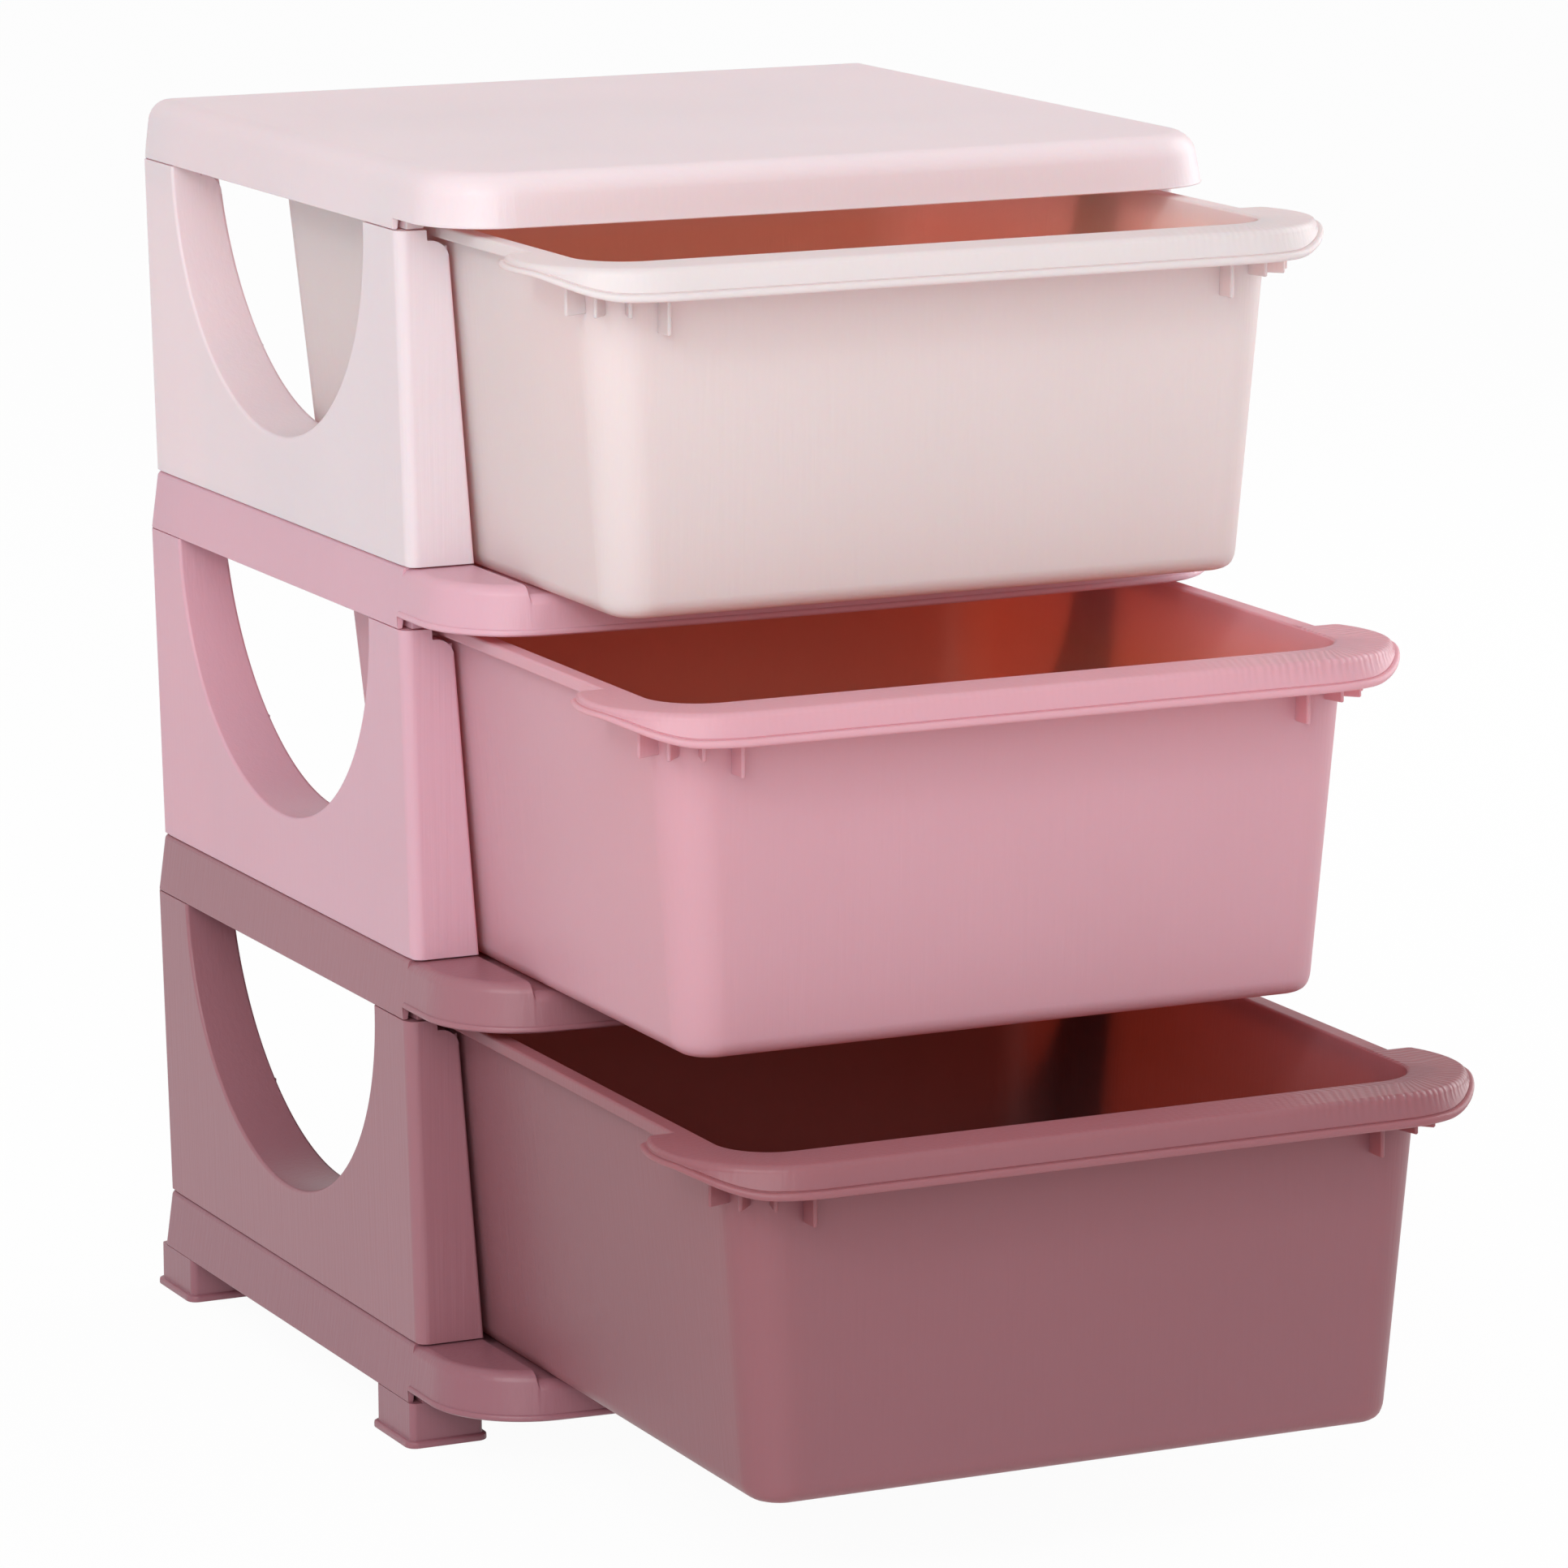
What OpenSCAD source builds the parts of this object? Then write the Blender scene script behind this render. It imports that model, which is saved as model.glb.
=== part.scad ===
// Three-tier plastic drawer tower.
// Frame: origin on the floor under the middle of the whole, +Z up, the drawers open towards -Y.

/* [Tower] */
// Overall width across the lower edge of each skirt
tower_w = 375; // [350:1:400]
// Depth of the side walls, without the bowed front lips
side_d = 312; // [290:1:330]
// Height of one tier, from one skirt's lower edge to the next
tier_pitch = 172.5; // [165:0.5:190]
// Number each tier's side walls lean in by, from top to bottom
side_lean = 3.5; // [1:0.5:5]
// Amount the front and back of a skirt lean in, from bottom to top
end_lean = 0.5; // [0:0.1:1]
// Radius of the tower's upright corners
corner_r = 6; // [4:0.5:8]
// Wall of the covers, frames, panels and feet
wall = 2.4; // [2:0.1:3]

/* [Frames and cover] */
// Height of the skirt of a frame
skirt_h = 26.5; // [25:0.5:30]
// Height of the top cover
cover_h = 27.5; // [26:0.5:34]
// Radius of the top cover's upper edge
cover_edge_r = 9; // [5:0.5:11]
// How far the top cover's lip stands out in front of the side walls
cover_lip = 54.5; // [45:0.5:60]
// Corner radius of the top cover's lip
cover_lip_r = 37; // [25:1:40]
// How far each end of the cover's lip is set in from the side
cover_lip_in = 6; // [5:0.5:8]
// How far the middle of the cover's lip bows out past its ends
cover_bow = 3.3; // [2:0.1:7]
// How far a frame's lip stands out in front of the side walls
frame_lip = 67.5; // [58:0.5:70]
// Corner radius of a frame's lip
frame_lip_r = 39; // [30:1:42]
// How far each end of a frame's lip is set in from the side
frame_lip_in = 3; // [2.5:0.5:5]
// How far the middle of a frame's lip bows out past its ends
frame_bow = 4.5; // [2:0.5:7]
// Radius of a frame's upper edge
frame_edge_r = 2; // [1:0.5:3]
// How far a lip's lower edge stays above the skirt's
lip_lift = 4.7; // [4:0.1:6]
// How far a lip leans in from bottom to top
lip_lean = 3; // [1:0.5:4]
// How much lower a frame lip's shoulders are than the skirt
shoulder_drop = 1.5; // [0.5:0.1:2.5]
// Height of the bead along a frame lip's lower edge
lip_bead_h = 2.4; // [1.5:0.1:3]
// How far that bead stands out
lip_bead_out = 0.8; // [0.4:0.1:1.2]
// Room beside a drawer's floor on the sunk track that it slides on
track_play = 10; // [7:0.5:11]
// Depth of that track below the frame's shoulders
track_sink = 4.4; // [3.5:0.1:5]
// Depth of the stiffening ribs under a deck
rib_h = 9; // [6:0.5:10]
// Thickness of the ribs and gussets
rib_t = 2; // [1.5:0.1:2.5]

/* [Side panels] */
// Thickness of a panel at its top edge
panel_top_t = 23.3; // [22:0.1:25]
// Thickness of a panel at its lower edge
panel_low_t = 30.5; // [26:0.5:31]
// Width of the runner ledge along a panel's top
runner_w = 9.5; // [8:0.1:10]
// Depth of the runner ledge below the panel's top edge
runner_drop = 4.7; // [4:0.1:6]
// Thickness of the runner ledge
runner_t = 2.8; // [2:0.1:3.5]
// Width of the window where it meets the top edge
window_w = 232; // [200:1:240]
// Height of the window
window_h = 108.5; // [90:0.5:115]

/* [Tenons and feet] */
// Length of a tenon, front to back
tenon_l = 26; // [20:0.5:27]
// Distance from a panel's front or back to its tenon
tenon_from_end = 7; // [6:0.1:8]
// Height of the upper tenon of a panel or foot
tenon_up_h = 12; // [8:0.5:12]
// Thickness of the lower tenon of a panel
tenon_low_t = 12; // [8:0.5:12]
// Depth of the lower tenon of a panel
tenon_low_h = 9.5; // [6:0.5:9.5]
// Clearance between a tenon and its socket
tenon_fit = 0.25; // [0.15:0.05:0.3]
// Wall round a socket
socket_wall = 2; // [1.5:0.1:2]
// Height of a foot, from the floor to the base frame
foot_h = 20; // [16:0.5:30]
// Distance of each foot's middle behind the middle of its socket
foot_shift = 2.4; // [0:0.1:2.6]
// Width of a foot's post
foot_w = 34.5; // [32:0.5:38]
// Length of a foot's post, front to back
foot_l = 41; // [36:0.5:43]
// How far a foot's sole stands out round its post
sole_out = 2; // [1:0.5:3]
// Thickness of a foot's sole
sole_h = 3.2; // [2:0.1:4]

/* [Drawers] */
// Gap between a drawer's box and the runners, at the rim
side_play = 2.7; // [2:0.1:5]
// Gap behind the back flange of a shut drawer, to the back of the side walls
back_play = 0.5; // [0.3:0.1:5]
// How much each side of the box leans in towards its floor
drawer_lean = 12.5; // [11:0.5:16]
// How much the front of the box leans in towards its floor
front_lean = 7; // [5:0.5:12]
// How much the back of the box leans in towards its floor
back_lean = 13; // [8:0.5:16]
// Corner radius of the box at its rim
drawer_r = 22; // [18:1:26]
// Radius between the walls of the box and its floor
drawer_floor_r = 8; // [6:0.5:10]
// Least radius of the box's inner corners
drawer_least_r = 2; // [1:0.5:4]
// Wall of a drawer
drawer_wall = 2.4; // [2:0.1:2.8]
// How far the side flanges stand out from the box
flange_w = 6; // [5:0.1:7]
// How far the back flange stands out from the box
flange_back = 1.8; // [1:0.1:1.8]
// How far a drawer's rim stands above the runner's skirt line
rim_rise = 1; // [0.5:0.1:2]
// Sliding clearance under a drawer and its flanges
slide_gap = 0.3; // [0.2:0.05:0.5]

/* [Drawer handle] */
// How far the handle stands out in front of the box
handle_reach = 28; // [24:0.5:30]
// How far the handle stands out beside the box
handle_side = 21.5; // [20:0.5:23]
// Corner radius of the handle
handle_r = 55; // [48:1:58]
// How far the handle's wings run back along the sides
wing_back = 50; // [45:1:54]
// Height of the handle along the front
apron_h = 13.6; // [10:0.1:15]
// Height of the handle's wings along the sides
wing_h = 4.8; // [4.4:0.1:5.5]
// Height of the bead along the front of the handle's lower edge
bead_h = 3.3; // [2:0.1:3.6]
// Height of that bead along the wings
wing_bead_h = 2.3; // [1.8:0.1:2.6]
// How far that bead stands out
bead_out = 1.4; // [0.8:0.1:2]
// How far the apron leans out from its upper edge to the bead
apron_lean = 2; // [1:0.1:3]
// Radius of the handle's upper edge
handle_edge_r = 3.2; // [1:0.1:3.6]
// Distance of each long gusset from the side of the box
gusset_in = 30.5; // [26:0.5:45]
// How far the gussets stand out from the box
gusset_out = 10; // [8:0.5:12]
// Drop of the long gussets below the rim
gusset_long = 29; // [24:1:36]
// Drop of the short corner gussets below the rim
gusset_short = 21; // [17:1:24]
// Angle from the front to the first of the three corner gussets
gusset_first = 16; // [8:1:24]
// Angle between the corner gussets
gusset_step = 27.5; // [18:0.5:32]

/* [Opening shown] */
// How far the top drawer is drawn out
open_top = 97; // [0:1:200]
// How far the middle drawer is drawn out
open_middle = 167; // [0:1:220]
// How far the bottom drawer is drawn out
open_bottom = 234; // [0:1:240]

/* [Hidden] */
$fn = 64;
hull_fn = 32;
thin = 0.01;
past = 1;
lip_root = 30;
half_w = tower_w / 2;
half_d = side_d / 2;
panel_hd = half_d - end_lean;
panel_h = tier_pitch - skirt_h;
// Lower edge of each skirt, from the base frame up to the cover
skirt_z = [for (k = [0:3]) foot_h + k * tier_pitch];
drawer_h = panel_h + track_sink + rim_rise - slide_gap;
drawer_low = rim_rise - drawer_h;
// Front of the box's rim when the drawer is shut: the wings stop just short of the side walls
shut_y = -half_d - wing_back - slide_gap;
drawer_len = half_d - shut_y - back_play - flange_back;
runner_in = half_w - panel_top_t;
drawer_w = 2 * (runner_in - side_play);
track_w = drawer_w - 2 * drawer_lean + 2 * track_play;
handle_w = drawer_w + 2 * handle_side;
runner_out = runner_in + runner_w;
// Upper tenons fill the room between the runner and the outer skin
tenon_in = runner_out + socket_wall + 2 * tenon_fit + 0.3;
tenon_out = half_w - wall - socket_wall;
tenon_low_in = track_w / 2 + wall + socket_wall + tenon_fit;
tenon_y = panel_hd - tenon_from_end - tenon_l / 2;
socket_up_z = tenon_up_h + tenon_fit;
socket_low_z = skirt_h - tenon_low_h - tenon_fit;
// The whole's depth runs from the furthest handle to the soles of the back feet
front_y = shut_y - max(open_top, open_middle, open_bottom) - handle_reach;
back_y = max(half_d, tenon_y + foot_shift + foot_l / 2 + sole_out);
mid_y = (front_y + back_y) / 2;
// The handle's underside rises between these angles, measured from straight out sideways
apron_full_a = -65;
wing_full_a = -12;
pale_pink = [0.93, 0.85, 0.86];
mid_pink = [0.86, 0.68, 0.73];
mauve = [0.62, 0.46, 0.50];
base_mauve = [0.66, 0.47, 0.52];

// The tower's own middle, at a height
function at(z) = [0, -mid_y, z];

// ---- shared shapes ----

// Flat rectangle with four round corners, centred on x, from y0 to y1
module round_rect(w, y0, y1, r) {
    hull_x = w / 2 - r;
    union() {
        translate([-hull_x, y0]) square([2 * hull_x, y1 - y0]);
        translate([-w / 2, y0 + r]) square([w, y1 - y0 - 2 * r]);
        for (x = [-hull_x, hull_x], y = [y0 + r, y1 - r]) translate([x, y]) circle(r);
    }
}

// A thin layer of that rectangle at height z, for hulls
module layer(z, w, y0, y1, r)
    translate([0, 0, z]) linear_extrude(thin) round_rect(w, y0, y1, r, $fn = hull_fn);

// Half of a lip's outline: bowed front, then a round corner, in plan
function lip_half(half, out, r, bow, steps = 7) =
    let (a0 = atan(2 * bow / (half - r)),
         xc = half - r * (1 - sin(a0)),
         cy = -(half_d + out) + bow + r * cos(a0))
    concat(
        [for (k = [1:steps - 1]) let (x = xc * k / steps) [x, -(half_d + out) + bow * pow(x / xc, 2)]],
        [for (k = [0:steps])
            let (a = -90 + a0 + (90 - a0) * k / steps) [half - r + r * cos(a), cy + r * sin(a)]]);

// Flat plan of a lip given as [half width, reach, corner radius, bow], moved in by inset
module lip_plan(lip, inset) {
    half = lip[0] - inset;
    right = concat(lip_half(half, lip[1] - inset, lip[2] - inset, lip[3]), [[half, lip_root - half_d]]);
    left = [for (k = [len(right) - 1:-1:0]) [-right[k][0], right[k][1]]];
    polygon(concat([[0, inset - half_d - lip[1]]], right, left));
}

module lip_layer(z, lip, inset)
    translate([0, 0, z]) linear_extrude(thin) lip_plan(lip, inset);

// Solid of a skirt with a rounded upper edge, h high, all sides moved in by inset
module skirt_solid(h, edge_r, inset, top) {
    r = max(corner_r - inset, 1);
    hull() {
        layer(inset > 0 ? -past : 0, tower_w - 2 * inset, -half_d + inset, half_d - inset, r);
        for (a = [0:30:90]) {
            e = inset + edge_r * (1 - cos(a));
            layer(top - edge_r * (1 - sin(a)) - thin,
                tower_w - 2 * (side_lean * top / h + e),
                -half_d + end_lean + e, half_d - end_lean - e, max(r - e + inset, 0.5));
        }
    }
}

// Solid of a lip with the same upper edge
module lip_solid(h, edge_r, inset, top, lip)
    hull() {
        lip_layer(inset > 0 ? -past : 0, lip, inset);
        for (a = [0:30:90])
            lip_layer(top - edge_r * (1 - sin(a)) - thin, lip,
                inset + lip_lean * top / h + edge_r * (1 - cos(a)));
    }

// One corner of the sockets: a panel or foot plugs in from below and a panel plugs in from above
module socket_block(up_open, top) {
    y0 = tenon_y - tenon_l / 2 - tenon_fit - socket_wall;
    x_low = tenon_in - tenon_fit - socket_wall;
    x_up = tenon_low_in - tenon_fit - socket_wall;
    x1 = half_w - side_lean - wall / 2;
    y1 = half_d - end_lean - wall / 2;
    difference() {
        union() {
            translate([x_low, y0, 0]) cube([x1 - x_low, y1 - y0, top]);
            if (up_open)
                translate([x_up, y0, socket_low_z - socket_wall])
                    cube([x1 - x_up, y1 - y0, top - socket_low_z + socket_wall]);
        }
        translate([tenon_in - tenon_fit, tenon_y - tenon_l / 2 - tenon_fit, -past])
            cube([tenon_out - tenon_in + 2 * tenon_fit, tenon_l + 2 * tenon_fit, socket_up_z + past]);
        if (up_open) socket_mouth();
    }
}

// The mouth that a panel's lower tenon drops into
module socket_mouth()
    translate([tenon_low_in - tenon_fit, tenon_y - tenon_l / 2 - tenon_fit, socket_low_z])
        cube([tenon_low_t + 2 * tenon_fit, tenon_l + 2 * tenon_fit, skirt_h]);

module at_corners()
    for (mx = [0, 1], my = [0, 1]) mirror([mx, 0, 0]) mirror([0, my, 0]) children();

// Ribs under a deck, from its underside down
module deck_ribs(under, lip) {
    span = track_w - 2 * wall;
    front = -half_d - lip[1] + lip[3] + 4 * wall;
    for (y = [-2:2])
        translate([-span / 2, y * side_d / 5 - rib_t / 2, under - rib_h])
            cube([span, rib_t, rib_h + past / 2]);
    for (x = [-1:1])
        translate([x * track_w / 4 - rib_t / 2, front, under - rib_h])
            cube([rib_t, half_d - wall - front, rib_h + past / 2]);
}

// Room under a lip's lower edge, and under the front and back walls for a drawer's rim
module lip_lift_cut(reach) {
    translate([-half_w, -half_d - reach - past, -past]) cube([tower_w, reach + past, lip_lift + past]);
    translate([-runner_out, -side_d, -past]) cube([2 * runner_out, 2 * side_d, rim_rise + 2 * past]);
}

// ---- top cover and frames ----

module top_cover() color(pale_pink) translate(at(skirt_z[3])) {
    under = cover_h - wall;
    lip = [half_w - cover_lip_in, cover_lip, cover_lip_r, cover_bow];
    difference() {
        union() {
            skirt_solid(cover_h, cover_edge_r, 0, cover_h);
            lip_solid(cover_h, cover_edge_r, 0, cover_h, lip);
        }
        skirt_solid(cover_h, cover_edge_r - wall, wall, under);
        lip_solid(cover_h, cover_edge_r - wall, wall, under, lip);
        lip_lift_cut(cover_lip);
    }
    at_corners() socket_block(false, under - cover_edge_r / 2);
    deck_ribs(under, lip);
}

module frame_moulding(z, tint) color(tint) translate(at(z)) {
    track_z = skirt_h - track_sink;
    under = track_z - wall;
    lip = [half_w - frame_lip_in, frame_lip, frame_lip_r, frame_bow];
    shoulder_z = skirt_h - shoulder_drop;
    difference() {
        union() {
            skirt_solid(skirt_h, frame_edge_r, 0, skirt_h);
            lip_solid(skirt_h, frame_edge_r, 0, shoulder_z, lip);
            lip_bead(lip);
        }
        difference() {
            union() {
                skirt_solid(skirt_h, 0, wall, skirt_h - wall);
                lip_solid(skirt_h, 0, wall, shoulder_z - wall, lip);
            }
            translate([-track_w / 2 - wall, -side_d, under]) cube([track_w + 2 * wall, 2 * side_d, skirt_h]);
        }
        translate([-track_w / 2, -side_d, track_z]) cube([track_w, 2 * side_d, skirt_h]);
        lip_lift_cut(frame_lip + lip_bead_out);
        at_corners() socket_mouth();
    }
    at_corners() socket_block(true, skirt_h - wall / 2);
    deck_ribs(under, lip);
}

// Bead along a frame lip's lower edge
module lip_bead(lip)
    translate([0, 0, lip_lift]) linear_extrude(lip_bead_h)
        difference() {
            lip_plan([lip[0] + lip_bead_out / 2, lip[1] + lip_bead_out, lip[2], lip[3]], 0);
            translate([-tower_w, -half_d + past]) square([2 * tower_w, side_d]);
        }

module shelf_frame_upper() frame_moulding(skirt_z[2], mid_pink);
module shelf_frame_lower() frame_moulding(skirt_z[1], mauve);
module base_frame() frame_moulding(skirt_z[0], base_mauve);

// ---- side panels ----

// The window's outline: half an ellipse that opens at the panel's top edge, grown all round
function window_pts(grow, steps = 36) =
    let (a = window_w / 2 + grow, b = window_h + grow)
    concat(
        [[a, past]],
        [for (k = [0:steps]) [a * cos(180 * k / steps), -b * sin(180 * k / steps)]],
        [[-a, past]]);

// The window's prism across the panel, between two distances from the tower's middle
module window_prism(grow, x0, x1)
    translate([x0, 0, 0]) rotate([90, 0, 90]) linear_extrude(x1 - x0) polygon(window_pts(grow));

// Right-hand panel with its top edge at z = 0
module panel_body() {
    lean_a = atan(side_lean / panel_h);
    low_in = half_w - side_lean - panel_low_t;
    intersection() {
        rotate([90, 0, 0]) linear_extrude(side_d, center = true)
            polygon([[half_w + past, 0], [half_w + past, -panel_h], [low_in, -panel_h], [runner_in, 0]]);
        translate([half_w, 0, 0]) rotate([0, lean_a, 0]) translate([-half_w, 0, -1.1 * panel_h])
            linear_extrude(1.2 * panel_h) difference() {
                round_rect(tower_w, -panel_hd, panel_hd, corner_r);
                translate([-2 * half_w, -side_d]) square([2 * half_w, 2 * side_d]);
            }
    }
}

// Everything of the panel's inside that the mould's core takes away
module panel_pocket() {
    skin_top = half_w - wall;
    skin_low = skin_top - side_lean;
    difference() {
        rotate([90, 0, 0]) linear_extrude(2 * (panel_hd - wall), center = true)
            polygon([[skin_top, -wall], [skin_low, wall - panel_h], [0, wall - panel_h], [0, -wall]]);
        difference() {
            window_prism(wall, 0, half_w);
            window_prism(0, -past, half_w + past);
        }
        runner_block();
        // upright ribs beside the window, and one short rib under it
        for (y = [-1, 1]) translate([0, y * (window_w / 2 + wall) * 0.72 - rib_t / 2, -panel_h])
            cube([half_w, rib_t, panel_h - window_h * 0.55]);
        translate([0, -rib_t / 2, -panel_h]) cube([half_w, rib_t, panel_h - window_h]);
    }
}

// The runner: a ledge along the panel's top, in front of the window and behind it
module runner_block()
    translate([0, -side_d, -runner_drop - runner_t])
        cube([runner_out + wall, 2 * side_d, runner_drop + runner_t + past]);

module side_panel(tier, right, tint) color(tint) mirror([right ? 0 : 1, 0, 0])
    translate(at(skirt_z[tier + 1])) {
        difference() {
            panel_body();
            panel_pocket();
            window_prism(0, 0, half_w + past);
            translate([0, -side_d, -runner_drop]) cube([runner_out, 2 * side_d, runner_drop + past]);
        }
        for (s = [-1, 1]) {
            translate([tenon_in, s * tenon_y - tenon_l / 2, -wall])
                cube([tenon_out - tenon_in, tenon_l, tenon_up_h + wall]);
            translate([tenon_low_in, s * tenon_y - tenon_l / 2, -panel_h - tenon_low_h])
                cube([tenon_low_t, tenon_l, tenon_low_h + wall]);
        }
    }

module side_panel_top_left() side_panel(2, false, pale_pink);
module side_panel_top_right() side_panel(2, true, pale_pink);
module side_panel_middle_left() side_panel(1, false, mid_pink);
module side_panel_middle_right() side_panel(1, true, mid_pink);
module side_panel_bottom_left() side_panel(0, false, mauve);
module side_panel_bottom_right() side_panel(0, true, mauve);

// ---- feet ----

module foot(back, right) color(base_mauve) mirror([right ? 0 : 1, 0, 0]) translate(at(0)) {
    mid_x = half_w - foot_w / 2;
    plug_y = (back ? 1 : -1) * tenon_y;
    y0 = plug_y + foot_shift - foot_l / 2;
    y1 = y0 + foot_l;
    difference() {
        translate([mid_x, 0, 0]) {
            linear_extrude(foot_h) round_rect(foot_w, y0, y1, corner_r / 2);
            linear_extrude(sole_h)
                round_rect(foot_w + 2 * sole_out, y0 - sole_out, y1 + sole_out, corner_r / 2 + sole_out);
        }
        translate([mid_x, 0, -past]) linear_extrude(foot_h - wall + past)
            round_rect(foot_w - 2 * wall, y0 + wall, y1 - wall, corner_r / 4);
    }
    translate([tenon_in, plug_y - tenon_l / 2, foot_h - wall])
        cube([tenon_out - tenon_in, tenon_l, tenon_up_h + wall]);
}

module foot_front_left() foot(false, false);
module foot_front_right() foot(false, true);
module foot_back_left() foot(true, false);
module foot_back_right() foot(true, true);

// ---- drawers ----

// How far a wall that leans by lean in all has come in at height z
function lean_at(lean, z) = lean * (rim_rise - z) / drawer_h;

// A layer of the drawer's box at height z, all sides moved in by inset
module box_layer(z, inset) {
    w = drawer_w - 2 * (lean_at(drawer_lean, z) + inset);
    layer(z, w, lean_at(front_lean, z) + inset, drawer_len - lean_at(back_lean, z) - inset,
        max(drawer_r - inset - lean_at(drawer_lean, z) / 4, drawer_least_r));
}

// Solid of the box with a rounded floor edge, moved in by inset
module box_solid(inset, low, top, floor_r)
    hull() {
        box_layer(top - thin, inset);
        for (a = [0:30:90]) box_layer(low + floor_r * (1 - sin(a)), inset + floor_r * (1 - cos(a)));
    }

// Handle geometry in plan, on the right-hand side; angles run from the front, -90, back along the wing
plate_t = drawer_wall + 0.2;
handle_cx = handle_w / 2 - handle_r;
handle_cy = handle_r - handle_reach;
wing_a = asin((wing_back - handle_cy) / handle_r);
function smooth(t) = let (u = min(max(t, 0), 1)) u * u * (3 - 2 * u);
// Share of the way from the front's profile to the wing's, at an angle round the handle
function handle_turn(a) = smooth((a - apron_full_a) / (wing_full_a - apron_full_a));
function handle_low(a) = rim_rise - apron_h + (apron_h - wing_h) * handle_turn(a);
function bead_at(a) = bead_h + (wing_bead_h - bead_h) * handle_turn(a);
// The line where the handle's top meets the box's wall
function seat_point(a) =
    let (x = drawer_w / 2 - drawer_wall / 2, y = drawer_wall / 2, r = drawer_r - drawer_wall / 2)
    a <= 0
        ? [x - r + r * cos(a), y + r + r * sin(a)]
        : [x, handle_cy + (wing_back - handle_cy) * a / wing_a];

// A point of the handle, t in from the bead's face; the wing ends square across
function handle_point(a, t) =
    let (r = handle_r - t)
    a < wing_a
        ? [handle_cx + r * cos(a), handle_cy + r * sin(a)]
        : [handle_cx + sqrt(r * r - pow(wing_back - handle_cy, 2)), wing_back];

// One cross-section of the handle: top plate, rounded edge, apron, bead and back of the apron
function handle_section(a, side) =
    let (s = seat_point(a),
         low = handle_low(a),
         b = bead_at(a),
         e = min(handle_edge_r, 0.7 * (rim_rise - low - b)),
         d = bead_out + apron_lean * (rim_rise - low) / apron_h,
         ring = [
             [s, rim_rise],
             [handle_point(a, d + e), rim_rise],
             [handle_point(a, d + 0.3 * e), rim_rise - 0.3 * e],
             [handle_point(a, d), rim_rise - e],
             [handle_point(a, bead_out), low + b],
             [handle_point(a, 0), low + 0.85 * b],
             [handle_point(a, 0), low],
             [handle_point(a, bead_out + drawer_wall), low],
             [handle_point(a, d + drawer_wall), rim_rise - plate_t],
             [s, rim_rise - plate_t]])
    [for (q = ring) [side * q[0][0], q[0][1], q[1]]];

// The wrap-around handle, swept from the left wing round the front to the right wing
module handle(steps = 15) {
    angles = [for (k = [0:steps]) -90 + (wing_a + 90) * k / steps];
    sections = concat(
        [for (k = [steps:-1:0]) handle_section(angles[k], -1)],
        [for (k = [0:steps]) handle_section(angles[k], 1)]);
    count = len(sections);
    m = len(sections[0]);
    cap = [[0, 1, 9], [1, 8, 9], [1, 2, 8], [2, 3, 8], [3, 4, 8], [4, 7, 8], [4, 5, 7], [5, 6, 7]];
    polyhedron(
        points = [for (s = sections) for (q = s) q],
        faces = concat(
            cap,
            [for (t = cap) [for (k = [2:-1:0]) (count - 1) * m + t[k]]],
            [for (i = [0:count - 2]) for (k = [0:m - 1]) for (half = [0, 1])
                let (k2 = (k + 1) % m, p = [i * m + k, i * m + k2, (i + 1) * m + k2, (i + 1) * m + k])
                half == 0 ? [p[2], p[1], p[0]] : [p[3], p[2], p[0]]]));
}

// Flanges along the sides and the back, with their edges turned down to ride on the runners
module flanges() {
    w = drawer_w + 2 * flange_w;
    y0 = wing_back - drawer_wall;
    y1 = drawer_len + flange_back;
    drop = runner_drop + rim_rise - slide_gap;
    half_wall = drawer_wall / 2;
    difference() {
        intersection() {
            translate([0, 0, rim_rise - drop]) linear_extrude(drop)
                round_rect(w, -drawer_r, y1, drawer_r - flange_w / 2);
            translate([-w, y0, -drawer_h]) cube([2 * w, drawer_len, 2 * drawer_h]);
        }
        translate([0, 0, rim_rise - drop - past]) linear_extrude(drop + past - drawer_wall)
            round_rect(w - 2 * drawer_wall, -drawer_r, y1 - flange_back / 2, drawer_r - drawer_wall);
        translate([0, 0, rim_rise - drawer_wall - past]) linear_extrude(drawer_wall + 2 * past)
            round_rect(drawer_w - drawer_wall, half_wall, drawer_len - half_wall, drawer_r - half_wall);
    }
}

// Gussets between the handle and the box: a long one in front and three round each front corner
module gussets() {
    plate_z = rim_rise - drawer_wall / 2;
    root = drawer_wall * 0.7 + lean_at(drawer_lean, plate_z - gusset_short);
    corner = [drawer_w / 2 - drawer_r, drawer_r];
    for (mx = [0, 1]) mirror([mx, 0, 0]) {
        translate([drawer_w / 2 - gusset_in - rib_t / 2, -gusset_out, plate_z - gusset_long])
            cube([rib_t, gusset_out + root, gusset_long]);
        for (k = [0:2])
            translate([corner[0], corner[1], plate_z - gusset_short])
                rotate([0, 0, -90 + gusset_first + k * gusset_step])
                    translate([drawer_r - root, -rib_t / 2, 0])
                        cube([gusset_out + root, rib_t, gusset_short]);
    }
}

module drawer(tier, open, tint) color(tint) translate(at(skirt_z[tier + 1]) + [0, shut_y - open, 0]) {
    difference() {
        union() {
            box_solid(0, drawer_low, rim_rise, drawer_floor_r);
            flanges();
            gussets();
        }
        box_solid(drawer_wall, drawer_low + drawer_wall, rim_rise + past, drawer_floor_r - drawer_wall);
    }
    handle();
}

module drawer_top() drawer(2, open_top, pale_pink);
module drawer_middle() drawer(1, open_middle, mid_pink);
module drawer_bottom() drawer(0, open_bottom, mauve);

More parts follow.
